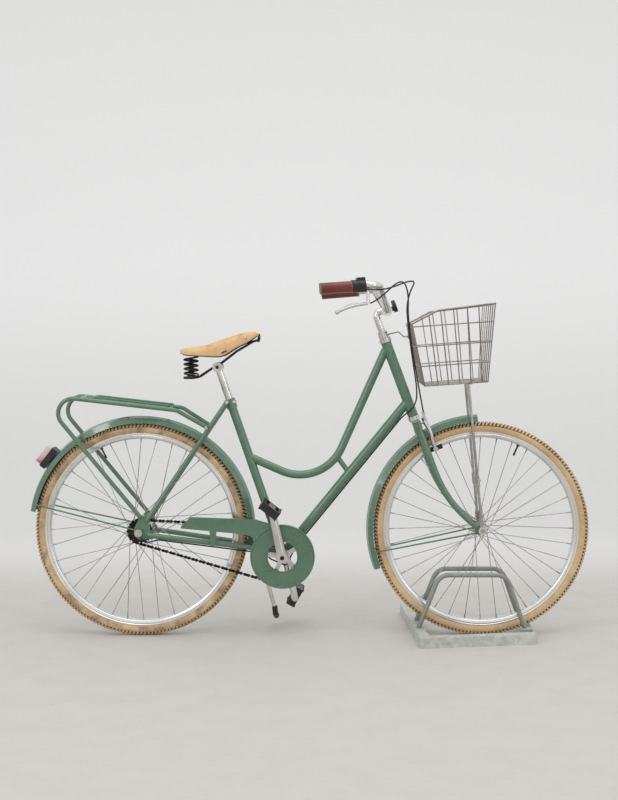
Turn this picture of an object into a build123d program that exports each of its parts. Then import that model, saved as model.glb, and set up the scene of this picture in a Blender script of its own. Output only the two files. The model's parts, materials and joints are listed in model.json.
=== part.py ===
"""Step-through city bicycle with a wire basket, parked in a steel floor stand.

Lengths are in millimetres. X points forward, Y to the rider's left and Z up.
Side positions are written as (distance ahead of the rear axle, height above the floor).
"""
import os
from math import acos, asin, atan2, cos, degrees, hypot, pi, radians, sin

from build123d import *

os.makedirs("parts", exist_ok=True)

# Wheels
WHEELBASE = 1113.0
TYRE_R = 351.0
TYRE_HALF = 20.0
TYRE_DEPTH = 34.0
RIM_DEPTH = 24.0
RIM_R = TYRE_R - TYRE_DEPTH
RIM_INNER_R = RIM_R - RIM_DEPTH
RIM_HALF = 13.0
SPOKES_PER_FLANGE = 18
SPOKE_CROSS_DEG = 60.0
SPOKE_R = 1.2
SPOKE_DIP = 1.8
SEAT_GAP = 0.3
RUN_FIT = 0.06

# Hubs and axles
REAR_AXLE_R = 5.0
REAR_HUB_R = 30.0
REAR_FLANGE_R = 38.0
REAR_FLANGE_Y = 31.0
REAR_HUB_HALF = 57.0
FRONT_AXLE_R = 4.5
FRONT_HUB_R = 14.0
FRONT_FLANGE_R = 20.0
FRONT_FLANGE_Y = 33.0
FRONT_HUB_HALF = 44.0
FLANGE_T = 3.0

# Drive
BB_X = 465.0
BB_Z = 270.0
BB_SHELL_R = 20.0
BB_SHELL_HALF = 35.0
SPINDLE_R = 8.4
CHAIN_PITCH = 12.7
CHAIN_Y = -49.0
RING_TEETH = 46
COG_TEETH = 19
RING_R = CHAIN_PITCH / (2 * sin(pi / RING_TEETH))
COG_R = CHAIN_PITCH / (2 * sin(pi / COG_TEETH))
TOOTH_ROOT = 4.0
TOOTH_TIP = 3.6
SPROCKET_T = 3.0
CHAIN_PLATE_T = 1.6
CHAIN_PLATE_HALF = 4.6
CHAIN_INNER_HALF = 2.6
ROLLER_R = 3.6
CRANK_L = 170.0
CRANK_DEG = 101.8
CRANK_Y = 74.0
CRANK_T = 12.0
PEDAL_AXLE_R = 5.0
PEDAL_L = 92.0
PEDAL_W = 66.0
PEDAL_H = 26.0
PEDAL_TILT_RIGHT = -38.0
PEDAL_TILT_LEFT = 60.0

# Frame lines
HEAD_LOW = (WHEELBASE - 220.0, 721.0)
HEAD_TOP = (WHEELBASE - 308.5, 962.0)
HEAD_R = 17.0
STEERER_R = 12.7
SEAT_TOP = (292.0, 780.0)
SEAT_TUBE_R = 14.3
POST_R = 13.0
POST_RISE = 111.0
TOP_TUBE_R = 13.5
TOP_TUBE_HEAD = (WHEELBASE - 310.0, 938.0)
TOP_TUBE_LOW = (597.0, 482.0)
TOP_TUBE_SEAT = (356.0, 590.0)
TOP_TUBE_BEND = 150.0
DOWN_TUBE_R = 15.0
DOWN_TUBE_HEAD = (WHEELBASE - 238.0, 769.0)
BRIDGE_R = 8.5
BRIDGE_TOP = (648.0, 584.0)
BRIDGE_LOW = (686.0, 530.0)
CHAIN_STAY_R = 8.5
CHAIN_STAY_REAR = (26.0, 62.0, 341.0)
CHAIN_STAY_FRONT = (445.0, 28.0, 284.0)
SEAT_STAY_R = 8.0
SEAT_STAY_LOW = (22.0, 62.5, 386.0)
SEAT_STAY_TOP = (286.0, 26.0, 771.0)

# Mudguards
GUARD_GAP = 24.0
GUARD_R = TYRE_R + GUARD_GAP
GUARD_T = 1.5
GUARD_HALF = 28.0
REAR_GUARD_DEG = (-8.0, 170.0)
FRONT_GUARD_DEG = (92.0, 201.0)

AXLE_Z = TYRE_R
TAIL_REACH = GUARD_R * cos(radians(REAR_GUARD_DEG[1]))
REAR_X = -(WHEELBASE + TYRE_R + TAIL_REACH) / 2


def at(x, y, z):
    """Point given by its distance ahead of the rear axle, side offset and height."""
    return Vector(x + REAR_X, y, z)


def side(y):
    """Upright lengthwise plane at side offset y, facing the rider's right."""
    return Plane(origin=(REAR_X, y, 0), x_dir=(1, 0, 0), z_dir=(0, -1, 0))


def across(x, z, y=0.0):
    """Plane facing sideways (+Y) at a side position, used for pieces that run across."""
    return Plane(origin=at(x, y, z), x_dir=(1, 0, 0), z_dir=(0, 1, 0))


def along(start, end):
    """Plane at the start of a straight run, facing its end."""
    return Plane(origin=start, z_dir=end - start)


def wheel_plane(x, turn_deg=90.0):
    """Plane through an axle: its u runs along the axle and its v outwards at the turn angle."""
    turn = radians(turn_deg)
    return Plane(origin=at(x, 0, AXLE_Z), x_dir=(0, 1, 0), z_dir=(sin(turn), 0, -cos(turn)))


def wheel_axis(x):
    """Axle line, turned so that a positive sweep climbs from front over the top to the rear."""
    return Axis(at(x, 0, AXLE_Z), (0, -1, 0))


def round_bar(start, end, radius, mode=Mode.ADD):
    """Straight round bar."""
    with BuildSketch(along(start, end)) as section:
        Circle(radius)
    return extrude(section.sketch, amount=(end - start).length, mode=mode)


def facet_bar(start, end, radius, sides=4, mode=Mode.ADD):
    """Straight thin wire with a few flat sides."""
    with BuildSketch(along(start, end)) as section:
        RegularPolygon(radius, sides)
    return extrude(section.sketch, amount=(end - start).length, mode=mode)


def bent_bar(points, bend, radius, sides=0, mode=Mode.ADD):
    """Bar along straight runs joined by tangent bends, round unless it has a count of sides."""
    with BuildLine() as path:
        FilletPolyline(*points, radius=bend)
    with BuildSketch(Plane(origin=points[0], z_dir=path.line @ 0.01 - points[0])) as section:
        if sides:
            RegularPolygon(radius, sides)
        else:
            Circle(radius)
    return sweep(section.sketch, path=path.line, mode=mode)


def turned(x, profile, start_deg=90.0, sweep_deg=360.0, mode=Mode.ADD):
    """Solid turned about an axle from (along axle, radius) points."""
    with BuildSketch(wheel_plane(x, start_deg)) as section:
        with BuildLine():
            Polyline(*profile, close=True)
        make_face()
    return revolve(section.sketch, axis=wheel_axis(x), revolution_arc=sweep_deg, mode=mode)


def cross_bar(x, z, y_from, y_to, radius, mode=Mode.ADD):
    """Round bar running across the bicycle."""
    with BuildSketch(across(x, z, y_from)) as section:
        Circle(radius)
    return extrude(section.sketch, amount=y_to - y_from, mode=mode)


def plate(points, y_from, y_to, mode=Mode.ADD):
    """Flat lengthwise plate with a straight-sided outline."""
    with BuildSketch(side(y_to)) as section:
        with BuildLine():
            Polyline(*points, close=True)
        make_face()
    return extrude(section.sketch, amount=y_to - y_from, mode=mode)


def block(x_span, y_span, z_span, mode=Mode.ADD):
    """Straight box between three pairs of limits."""
    outline = [(x_span[0], z_span[0]), (x_span[1], z_span[0]), (x_span[1], z_span[1]), (x_span[0], z_span[1])]
    return plate(outline, y_span[0], y_span[1], mode=mode)


def on_line(low, high, distance, y=0.0):
    """Point a distance up the line from low to high."""
    run = hypot(high[0] - low[0], high[1] - low[1])
    share = distance / run
    return at(low[0] + (high[0] - low[0]) * share, y, low[1] + (high[1] - low[1]) * share)


def save(piece, name):
    """Label a finished piece and write it out."""
    piece.part.label = name
    export_step(piece.part, f"parts/{name}.step")


TYRE_PROFILE = [
    (-14, RIM_R), (-TYRE_HALF, RIM_R + 11), (-18.5, RIM_R + 22), (-10.5, TYRE_R - 2.5), (0, TYRE_R),
    (10.5, TYRE_R - 2.5), (18.5, RIM_R + 22), (TYRE_HALF, RIM_R + 11), (14, RIM_R),
]
RIM_PROFILE = [(-RIM_HALF, RIM_R), (RIM_HALF, RIM_R), (8, RIM_INNER_R), (-8, RIM_INNER_R)]


def hub_profile(axle_r, shell_r, flange_r, flange_y, half):
    """Half section of a hub shell with two flanges, bored for its axle."""
    bore = axle_r + RUN_FIT
    neck = shell_r * 0.6
    outer = flange_y + FLANGE_T
    return [
        (-half, bore), (-half, neck), (-outer, neck), (-outer, flange_r), (-flange_y, flange_r),
        (-flange_y, shell_r), (flange_y, shell_r), (flange_y, flange_r), (outer, flange_r),
        (outer, neck), (half, neck), (half, bore),
    ]


def wheel_spokes(x, flange_r, flange_y):
    """Spokes of one wheel: per flange, half lead and half trail, on either face of the flange."""
    step = 360 / SPOKES_PER_FLANGE
    wires = []
    for flange_side in (-1, 1):
        turn = 0 if flange_side < 0 else step / 2
        for number in range(SPOKES_PER_FLANGE):
            leads = number % 2 == 0
            lift = FLANGE_T + SPOKE_R + SPOKE_DIP if leads else -(SPOKE_R + SEAT_GAP)
            hub_deg = turn + number * step
            rim_deg = hub_deg + (SPOKE_CROSS_DEG if leads else -SPOKE_CROSS_DEG)
            hub_r = flange_r - 2
            rim_r = RIM_INNER_R - 2 * SEAT_GAP
            start = at(
                x + hub_r * cos(radians(hub_deg)), flange_side * (flange_y + lift),
                AXLE_Z + hub_r * sin(radians(hub_deg)),
            )
            end = at(x + rim_r * cos(radians(rim_deg)), flange_side * 2.5, AXLE_Z + rim_r * sin(radians(rim_deg)))
            wires.append(facet_bar(start, end, SPOKE_R, mode=Mode.PRIVATE))
    return wires


def sprocket_face(plane, centre, pitch_r, teeth):
    """Toothed outline: each tooth has a root and a tip flank pair."""
    step = 2 * pi / teeth
    outline = []
    for tooth in range(teeth):
        for share, radius in ((0.0, -TOOTH_ROOT), (0.3, -TOOTH_ROOT), (0.56, TOOTH_TIP), (0.74, TOOTH_TIP)):
            turn = (tooth + share) * step
            outline.append((centre[0] + (pitch_r + radius) * cos(turn), centre[1] + (pitch_r + radius) * sin(turn)))
    with BuildSketch(plane) as section:
        with BuildLine():
            Polyline(*outline, close=True)
        make_face()
    return section.sketch


# Rear wheel
with BuildPart() as rear_tyre:
    turned(0, TYRE_PROFILE)
save(rear_tyre, "rear_tyre")

with BuildPart() as rear_rim:
    turned(0, RIM_PROFILE)
save(rear_rim, "rear_rim")

with BuildPart() as rear_spokes:
    add(wheel_spokes(0, REAR_FLANGE_R, REAR_FLANGE_Y))
save(rear_spokes, "rear_spokes")

with BuildPart() as rear_hub:
    turned(0, hub_profile(REAR_AXLE_R, REAR_HUB_R, REAR_FLANGE_R, REAR_FLANGE_Y, REAR_HUB_HALF))
save(rear_hub, "rear_hub")

with BuildPart() as rear_cog:
    extrude(sprocket_face(side(CHAIN_Y + SPROCKET_T / 2), (0, AXLE_Z), COG_R, COG_TEETH), amount=SPROCKET_T)
    cross_bar(0, AXLE_Z, CHAIN_Y - SPROCKET_T, CHAIN_Y + SPROCKET_T, REAR_HUB_R * 0.6, mode=Mode.SUBTRACT)
save(rear_cog, "rear_cog")

# Front wheel
with BuildPart() as front_tyre:
    turned(WHEELBASE, TYRE_PROFILE)
save(front_tyre, "front_tyre")

with BuildPart() as front_rim:
    turned(WHEELBASE, RIM_PROFILE)
save(front_rim, "front_rim")

with BuildPart() as front_spokes:
    add(wheel_spokes(WHEELBASE, FRONT_FLANGE_R, FRONT_FLANGE_Y))
save(front_spokes, "front_spokes")

with BuildPart() as front_hub:
    turned(WHEELBASE, hub_profile(FRONT_AXLE_R, FRONT_HUB_R, FRONT_FLANGE_R, FRONT_FLANGE_Y, FRONT_HUB_HALF))
save(front_hub, "front_hub")

# Crankset: both arms, spindle and five-arm spider, with the toothed ring beside it
SPIDER_R = 76.0
SPIDER_ARM_W = 14.0
CRANK_TIP = (BB_X + CRANK_L * cos(radians(CRANK_DEG)), BB_Z + CRANK_L * sin(radians(CRANK_DEG)))
CRANK_TIP_LEFT = (2 * BB_X - CRANK_TIP[0], 2 * BB_Z - CRANK_TIP[1])
RING_FACE_Y = CHAIN_Y - SPROCKET_T / 2
SPIDER_Y = RING_FACE_Y - SEAT_GAP
SPIDER_T = 5.0


def crank_arm(y_low, tip):
    """Arm from the spindle to its pedal, wider at the spindle."""
    with BuildSketch(side(y_low + CRANK_T)) as section:
        with Locations((BB_X, BB_Z)):
            Circle(15)
        with Locations(tip):
            Circle(11)
        make_hull()
    return extrude(section.sketch, amount=CRANK_T)


with BuildPart() as cranks:
    cross_bar(BB_X, BB_Z, -CRANK_Y, CRANK_Y, SPINDLE_R)
    crank_arm(-CRANK_Y - CRANK_T, CRANK_TIP)
    crank_arm(CRANK_Y, CRANK_TIP_LEFT)
    with BuildSketch(side(SPIDER_Y)) as spider:
        with Locations((BB_X, BB_Z)):
            Circle(24)
            with PolarLocations(SPIDER_R / 2, 5, start_angle=CRANK_DEG):
                Rectangle(SPIDER_R, SPIDER_ARM_W)
    extrude(spider.sketch, amount=SPIDER_T)
    cross_bar(BB_X, BB_Z, -CRANK_Y, SPIDER_Y, 15)
    cross_bar(*CRANK_TIP, -CRANK_Y - CRANK_T - PEDAL_L - 8, -CRANK_Y, PEDAL_AXLE_R)
    cross_bar(*CRANK_TIP_LEFT, CRANK_Y, CRANK_Y + CRANK_T + PEDAL_L + 8, PEDAL_AXLE_R)
save(cranks, "cranks")

with BuildPart() as chainring:
    extrude(sprocket_face(side(CHAIN_Y + SPROCKET_T / 2), (BB_X, BB_Z), RING_R, RING_TEETH), amount=SPROCKET_T)
    cross_bar(BB_X, BB_Z, CHAIN_Y - SPROCKET_T, CHAIN_Y + SPROCKET_T, SPIDER_R - 12, mode=Mode.SUBTRACT)
save(chainring, "chainring")


def pedal_body(tip, y_low, tilt):
    """Block pedal with a slot in each half, bored for its axle."""
    flat = Plane(origin=at(tip[0], y_low, tip[1]), x_dir=(cos(radians(tilt)), 0, sin(radians(tilt))), z_dir=(0, 1, 0))
    with BuildSketch(flat) as section:
        Rectangle(PEDAL_W, PEDAL_H)
        Circle(PEDAL_AXLE_R + RUN_FIT, mode=Mode.SUBTRACT)
    extrude(section.sketch, amount=PEDAL_L)
    with BuildSketch(Plane(origin=at(tip[0], y_low + PEDAL_L / 2, tip[1]), x_dir=(0, 1, 0), z_dir=flat.y_dir)) as slots:
        with Locations((0, PEDAL_W * 0.28), (0, -PEDAL_W * 0.28)):
            Rectangle(PEDAL_L - 18, PEDAL_W * 0.2)
    extrude(slots.sketch, amount=PEDAL_H, both=True, mode=Mode.SUBTRACT)


with BuildPart() as pedal_right:
    pedal_body(CRANK_TIP, -CRANK_Y - CRANK_T - 4 - PEDAL_L, PEDAL_TILT_RIGHT)
save(pedal_right, "pedal_right")

with BuildPart() as pedal_left:
    pedal_body(CRANK_TIP_LEFT, CRANK_Y + CRANK_T + 4, PEDAL_TILT_LEFT)
save(pedal_left, "pedal_left")

# Chain: two plate loops with rollers along the straight runs
CHAIN_RISE = atan2(BB_Z - AXLE_Z, BB_X)
CHAIN_SPAN = hypot(BB_X, BB_Z - AXLE_Z)
CHAIN_LEAN = acos(-(RING_R - COG_R) / CHAIN_SPAN)


def belt_face(plane, grow):
    """Loop round the cog and the ring at a distance from the pitch line."""
    with BuildSketch(plane) as section:
        with Locations((0, AXLE_Z)):
            Circle(COG_R + grow)
        with Locations((BB_X, BB_Z)):
            Circle(RING_R + grow)
        make_hull()
    return section.sketch


def chain_rollers():
    """Rollers on the upper and lower runs, one pitch apart, clear of both sprockets."""
    rollers = []
    for turn in (CHAIN_RISE + CHAIN_LEAN, CHAIN_RISE - CHAIN_LEAN):
        start = (COG_R * cos(turn), AXLE_Z + COG_R * sin(turn))
        end = (BB_X + RING_R * cos(turn), BB_Z + RING_R * sin(turn))
        run = hypot(end[0] - start[0], end[1] - start[1])
        for number in range(2, int(run / CHAIN_PITCH) - 2):
            share = number * CHAIN_PITCH / run
            x = start[0] + (end[0] - start[0]) * share
            z = start[1] + (end[1] - start[1]) * share
            low = at(x, CHAIN_Y - CHAIN_INNER_HALF, z)
            high = at(x, CHAIN_Y + CHAIN_INNER_HALF, z)
            rollers.append(facet_bar(low, high, ROLLER_R, sides=6, mode=Mode.PRIVATE))
    return rollers


with BuildPart() as chain:
    for plate_y in (CHAIN_Y + CHAIN_INNER_HALF + CHAIN_PLATE_T, CHAIN_Y - CHAIN_INNER_HALF):
        extrude(belt_face(side(plate_y), CHAIN_PLATE_HALF), amount=CHAIN_PLATE_T)
        extrude(belt_face(side(plate_y), -CHAIN_PLATE_HALF), amount=CHAIN_PLATE_T, mode=Mode.SUBTRACT)
    add(chain_rollers())
save(chain, "chain")

# Frame
HEAD_L = hypot(HEAD_TOP[0] - HEAD_LOW[0], HEAD_TOP[1] - HEAD_LOW[1])
CUP_H = 14.0
CUP_R = 20.0
COLLAR_H = 32.0
COLLAR_R = 17.5
POST_DEPTH = 80.0
STAY_BRIDGE_R = 6.0
DROPOUT_Y = 59.5
DROPOUT_T = 5.0


def head(h, y=0.0):
    """Point on the steering axis at a height above the lower end of the head tube."""
    return on_line(HEAD_LOW, HEAD_TOP, h, y)


def seat(h):
    """Point on the seat tube's line at a distance above the bottom bracket."""
    return on_line((BB_X, BB_Z), SEAT_TOP, h)


SEAT_L = hypot(SEAT_TOP[0] - BB_X, SEAT_TOP[1] - BB_Z)
POST_TOP = (
    SEAT_TOP[0] + (SEAT_TOP[0] - BB_X) * POST_RISE / SEAT_L, SEAT_TOP[1] + (SEAT_TOP[1] - BB_Z) * POST_RISE / SEAT_L,
)


def spot(point):
    """Side position as a point on the middle plane."""
    return at(point[0], 0, point[1])


def mirrored(point, hand):
    """The given left-hand point, or its twin on the right for hand -1."""
    return at(point[0], hand * point[1], point[2])


def share_at_radius(low, high, radius):
    """How far along a stay it crosses a circle about the rear axle."""
    run_x = high[0] - low[0]
    run_z = high[2] - low[2]
    low_z = low[2] - AXLE_Z
    square = run_x**2 + run_z**2
    middle = (low[0] * run_x + low_z * run_z) / square
    rest = (low[0] ** 2 + low_z**2 - radius**2) / square
    return -middle + (middle**2 - rest) ** 0.5


def stay_pair(low, high, radius, bridge_radius):
    """Left and right stay with a round bridge that carries the mudguard."""
    for hand in (-1, 1):
        round_bar(mirrored(low, hand), mirrored(high, hand), radius)
    share = share_at_radius(low, high, bridge_radius)
    x, half, z = (low[k] + (high[k] - low[k]) * share for k in range(3))
    cross_bar(x, z, -half, half, STAY_BRIDGE_R)


with BuildPart() as head_tube:
    round_bar(head(0), head(HEAD_L), HEAD_R)
    round_bar(head(0), head(HEAD_L), STEERER_R + RUN_FIT, mode=Mode.SUBTRACT)
save(head_tube, "head_tube")

with BuildPart() as headset_cups:
    for low, high in ((-CUP_H, 0), (HEAD_L, HEAD_L + CUP_H)):
        round_bar(head(low), head(high), CUP_R)
        round_bar(head(low), head(high), STEERER_R + RUN_FIT, mode=Mode.SUBTRACT)
save(headset_cups, "headset_cups")

with BuildPart() as bottom_bracket_shell:
    cross_bar(BB_X, BB_Z, -BB_SHELL_HALF, BB_SHELL_HALF, BB_SHELL_R)
    cross_bar(BB_X, BB_Z, -BB_SHELL_HALF, BB_SHELL_HALF, SPINDLE_R + RUN_FIT, mode=Mode.SUBTRACT)
save(bottom_bracket_shell, "bottom_bracket_shell")

with BuildPart() as down_tube:
    round_bar(spot((BB_X, BB_Z)), spot(DOWN_TUBE_HEAD), DOWN_TUBE_R)
    cross_bar(BB_X, BB_Z, -BB_SHELL_HALF, BB_SHELL_HALF, BB_SHELL_R, mode=Mode.SUBTRACT)
    round_bar(head(0), head(HEAD_L), HEAD_R, mode=Mode.SUBTRACT)
save(down_tube, "down_tube")

with BuildPart() as seat_tube:
    round_bar(seat(0), seat(SEAT_L), SEAT_TUBE_R)
    round_bar(seat(SEAT_L - COLLAR_H), seat(SEAT_L), COLLAR_R)
    cross_bar(SEAT_STAY_TOP[0], SEAT_STAY_TOP[2], -SEAT_STAY_TOP[1] - 8, SEAT_STAY_TOP[1] + 8, SEAT_STAY_R + 0.5)
    round_bar(seat(SEAT_L - POST_DEPTH), seat(SEAT_L + COLLAR_H), POST_R, mode=Mode.SUBTRACT)
    cross_bar(BB_X, BB_Z, -BB_SHELL_HALF, BB_SHELL_HALF, BB_SHELL_R, mode=Mode.SUBTRACT)
    add(down_tube.part, mode=Mode.SUBTRACT)
save(seat_tube, "seat_tube")

with BuildPart() as top_tube:
    bent_bar([spot(TOP_TUBE_HEAD), spot(TOP_TUBE_LOW), spot(TOP_TUBE_SEAT)], TOP_TUBE_BEND, TOP_TUBE_R)
    round_bar(head(0), head(HEAD_L), HEAD_R, mode=Mode.SUBTRACT)
    round_bar(seat(0), seat(SEAT_L), SEAT_TUBE_R, mode=Mode.SUBTRACT)
save(top_tube, "top_tube")

with BuildPart() as tube_bridge:
    round_bar(spot(BRIDGE_LOW), spot(BRIDGE_TOP), BRIDGE_R)
    add(top_tube.part, mode=Mode.SUBTRACT)
    add(down_tube.part, mode=Mode.SUBTRACT)
save(tube_bridge, "tube_bridge")

DROPOUT_OUTLINE = [(-16, 338), (-16, 364), (4, 404), (30, 404), (36, 356), (46, 340), (44, 328), (0, 327)]

with BuildPart() as rear_dropouts:
    for inner, outer in ((-DROPOUT_Y - DROPOUT_T, -DROPOUT_Y), (DROPOUT_Y, DROPOUT_Y + DROPOUT_T)):
        plate(DROPOUT_OUTLINE, inner, outer)
    cross_bar(0, AXLE_Z, -80, 80, REAR_AXLE_R, mode=Mode.SUBTRACT)
save(rear_dropouts, "rear_dropouts")

with BuildPart() as chain_stays:
    stay_pair(CHAIN_STAY_REAR, CHAIN_STAY_FRONT, CHAIN_STAY_R, GUARD_R + SEAT_GAP + STAY_BRIDGE_R)
    cross_bar(BB_X, BB_Z, -BB_SHELL_HALF - 20, BB_SHELL_HALF + 20, BB_SHELL_R, mode=Mode.SUBTRACT)
    add(rear_dropouts.part, mode=Mode.SUBTRACT)
save(chain_stays, "chain_stays")

with BuildPart() as seat_stays:
    stay_pair(SEAT_STAY_LOW, SEAT_STAY_TOP, SEAT_STAY_R, GUARD_R + SEAT_GAP + STAY_BRIDGE_R)
    add(rear_dropouts.part, mode=Mode.SUBTRACT)
    add(seat_tube.part, mode=Mode.SUBTRACT)
save(seat_stays, "seat_stays")

AXLE_NUT_Y = DROPOUT_Y + DROPOUT_T + SEAT_GAP
AXLE_NUT_T = 10.0
GEAR_CAP_T = 18.0

with BuildPart() as rear_axle:
    cross_bar(0, AXLE_Z, -AXLE_NUT_Y - AXLE_NUT_T, AXLE_NUT_Y + AXLE_NUT_T, REAR_AXLE_R)
    facet_bar(at(0, AXLE_NUT_Y, AXLE_Z), at(0, AXLE_NUT_Y + AXLE_NUT_T, AXLE_Z), 11, sides=6)
    facet_bar(at(0, -AXLE_NUT_Y, AXLE_Z), at(0, -AXLE_NUT_Y - AXLE_NUT_T, AXLE_Z), 11, sides=6)
    cross_bar(0, AXLE_Z, -AXLE_NUT_Y - AXLE_NUT_T - GEAR_CAP_T, -AXLE_NUT_Y - AXLE_NUT_T, 9)
save(rear_axle, "rear_axle")

# Mudguards
GUARD_OUTER = [(-GUARD_HALF, GUARD_R - 23), (-21, GUARD_R - 6), (0, GUARD_R), (21, GUARD_R - 6), (GUARD_HALF, GUARD_R - 23)]
GUARD_INNER = [(y * (1 - GUARD_T / GUARD_HALF), radius - GUARD_T) for y, radius in reversed(GUARD_OUTER)]
GUARD_PROFILE = GUARD_OUTER + [(GUARD_HALF - GUARD_T, GUARD_R - 23)] + GUARD_INNER[1:-1] + [(GUARD_T - GUARD_HALF, GUARD_R - 23)]

with BuildPart() as rear_mudguard:
    turned(0, GUARD_PROFILE, REAR_GUARD_DEG[0], REAR_GUARD_DEG[1] - REAR_GUARD_DEG[0])
save(rear_mudguard, "rear_mudguard")

with BuildPart() as front_mudguard:
    turned(WHEELBASE, GUARD_PROFILE, FRONT_GUARD_DEG[0], FRONT_GUARD_DEG[1] - FRONT_GUARD_DEG[0])
save(front_mudguard, "front_mudguard")

GUARD_STAY_R = 2.6
REAR_STAY_DEG = 166.0
FRONT_STAY_DEG = 192.0
REAR_STAY_EYE = (-10.0, 358.0)
FRONT_STAY_EYE = (WHEELBASE - 16.0, AXLE_Z - 6.0)
FORK_END_Y = 46.5
FORK_END_T = 6.0


def guard_stays(x, turn_deg, eye, eye_y):
    """Pair of wires from the edges of a mudguard to the axle's ends."""
    reach = GUARD_R - 19
    edge_x = x + reach * cos(radians(turn_deg))
    edge_z = AXLE_Z + reach * sin(radians(turn_deg))
    edge_y = GUARD_HALF + SEAT_GAP + GUARD_STAY_R
    for hand in (-1, 1):
        facet_bar(at(edge_x, hand * edge_y, edge_z), at(eye[0], hand * eye_y, eye[1]), GUARD_STAY_R, sides=6)


with BuildPart() as rear_mudguard_stays:
    guard_stays(0, REAR_STAY_DEG, REAR_STAY_EYE, DROPOUT_Y + DROPOUT_T + 2 * SEAT_GAP + GUARD_STAY_R)
save(rear_mudguard_stays, "rear_mudguard_stays")

# Saddle on its post
SADDLE_HALF = 84.0
SADDLE_TOP = [
    (136, 936), (142, 944), (152, 949), (177, 951), (210, 955), (246, 966), (283, 979), (320, 991), (357, 999),
    (376, 1000.5), (386, 997), (391, 991),
]
SADDLE_UNDER = [
    (388, 987), (376, 979), (354, 963), (322, 949.5), (297, 933), (282, 922.5), (268, 918.8), (253, 918.1),
    (210, 921.8), (166, 924), (141, 929.5),
]
SADDLE_PLAN = [
    (132, 44), (138, 64), (152, 78), (172, SADDLE_HALF), (205, 74), (245, 52), (283, 36), (330, 27), (374, 21), (391, 10),
]
SADDLE_RAIL = [(236, 21, 880), (268, 20, 898), (318, 17, 936), (372, 9, 967)]
RAIL_R = 3.5
SPRING_R = 20.0
SPRING_X = 168.0
SPRING_Y = 46.0
SPRING_LOW = 856.0
SPRING_TOP = 922.85
SPRING_TURNS = 4

with BuildPart() as seat_post:
    round_bar(seat(SEAT_L - POST_DEPTH), spot(POST_TOP), POST_R)
save(seat_post, "seat_post")

with BuildPart() as saddle_cover:
    plate(SADDLE_TOP + SADDLE_UNDER, -SADDLE_HALF, SADDLE_HALF)
    with BuildSketch(Plane(origin=(REAR_X, 0, SPRING_LOW))) as saddle_plan:
        with BuildLine():
            Polyline(*SADDLE_PLAN, *[(x, -y) for x, y in reversed(SADDLE_PLAN)], close=True)
        make_face()
    extrude(saddle_plan.sketch, amount=SADDLE_HALF * 3, mode=Mode.INTERSECT)
save(saddle_cover, "saddle_cover")

with BuildPart() as saddle_frame:
    cross_bar(*POST_TOP, -30, 30, 15)
    for hand in (-1, 1):
        bent_bar(
            [
                at(SPRING_X, hand * SPRING_Y, SPRING_LOW - RAIL_R - SEAT_GAP),
                at(SPRING_X + 26, hand * 33, SPRING_LOW - RAIL_R - SEAT_GAP),
                *[mirrored(point, hand) for point in SADDLE_RAIL],
            ],
            12, RAIL_R, sides=8,
        )
        round_bar(at(SPRING_X, hand * SPRING_Y, SPRING_LOW - 8), at(SPRING_X, hand * SPRING_Y, SPRING_LOW), SPRING_R)
    add(seat_post.part, mode=Mode.SUBTRACT)
save(saddle_frame, "saddle_frame")

SPRING_PITCH = (SPRING_TOP - SPRING_LOW) / SPRING_TURNS

with BuildPart() as saddle_springs:
    for hand in (-1, 1):
        spring_plane = Plane(origin=at(SPRING_X, hand * SPRING_Y, SPRING_LOW), x_dir=(1, 0, 0), z_dir=(0, -1, 0))
        with BuildSketch(spring_plane) as spring_section:
            with BuildLine():
                Polyline(
                    (0, 0),
                    *[
                        (SPRING_R - (0 if step % 2 else 5), step * SPRING_PITCH / 2)
                        for step in range(2 * SPRING_TURNS + 1)
                    ],
                    (0, SPRING_TOP - SPRING_LOW), close=True,
                )
            make_face()
        revolve(spring_section.sketch, axis=Axis(spring_plane.origin, (0, 0, 1)))
save(saddle_springs, "saddle_springs")

with BuildPart() as front_mudguard_stays:
    guard_stays(WHEELBASE, FRONT_STAY_DEG, FRONT_STAY_EYE, FORK_END_Y + FORK_END_T + 2 * SEAT_GAP + GUARD_STAY_R)
save(front_mudguard_stays, "front_mudguard_stays")

# Rear rack, lamp and chain guard
RACK_Y = 72.0
RACK_R = 7.0
RACK_FOOT = (5.0, 402.0)
RACK_REAR = (-320.0, 801.0)
RACK_FRONT = (128.0, 748.0)
RACK_STAY_END = (223.0, 48.0, 690.0)
RACK_BENDS = 48.0
DECK_BAR_R = 5.0
DECK_ROD_R = 4.0
DECK_ROD_Y = 24.0
DECK_BARS_X = (-190.0, -60.0, 96.0)
CLIP_Y = 40.0
CLIP_R = 4.0


def rail_z(x):
    """Height of the rack's top rails."""
    return RACK_REAR[1] + (RACK_FRONT[1] - RACK_REAR[1]) * (x - RACK_REAR[0]) / (RACK_FRONT[0] - RACK_REAR[0])


with BuildPart() as rear_rack_tubes:
    for hand in (-1, 1):
        rack_run = [
            at(RACK_FOOT[0], hand * RACK_Y, RACK_FOOT[1]), at(RACK_REAR[0], hand * RACK_Y, RACK_REAR[1]),
            at(RACK_FRONT[0], hand * RACK_Y, RACK_FRONT[1]), mirrored(RACK_STAY_END, hand),
        ]
        bent_bar(rack_run, RACK_BENDS, RACK_R)
save(rear_rack_tubes, "rear_rack_tubes")

with BuildPart() as rear_rack_deck:
    for bar_x in DECK_BARS_X:
        cross_bar(bar_x, rail_z(bar_x), -RACK_Y, RACK_Y, DECK_BAR_R)
    for rod_y in (-DECK_ROD_Y, 0, DECK_ROD_Y):
        rod_start = at(DECK_BARS_X[0], rod_y, rail_z(DECK_BARS_X[0]))
        facet_bar(rod_start, at(DECK_BARS_X[-1], rod_y, rail_z(DECK_BARS_X[-1])), DECK_ROD_R, sides=8)
    add(rear_rack_tubes.part, mode=Mode.SUBTRACT)
save(rear_rack_deck, "rear_rack_deck")

CLIP_LIFT = DECK_BAR_R + CLIP_R + SEAT_GAP

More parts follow.
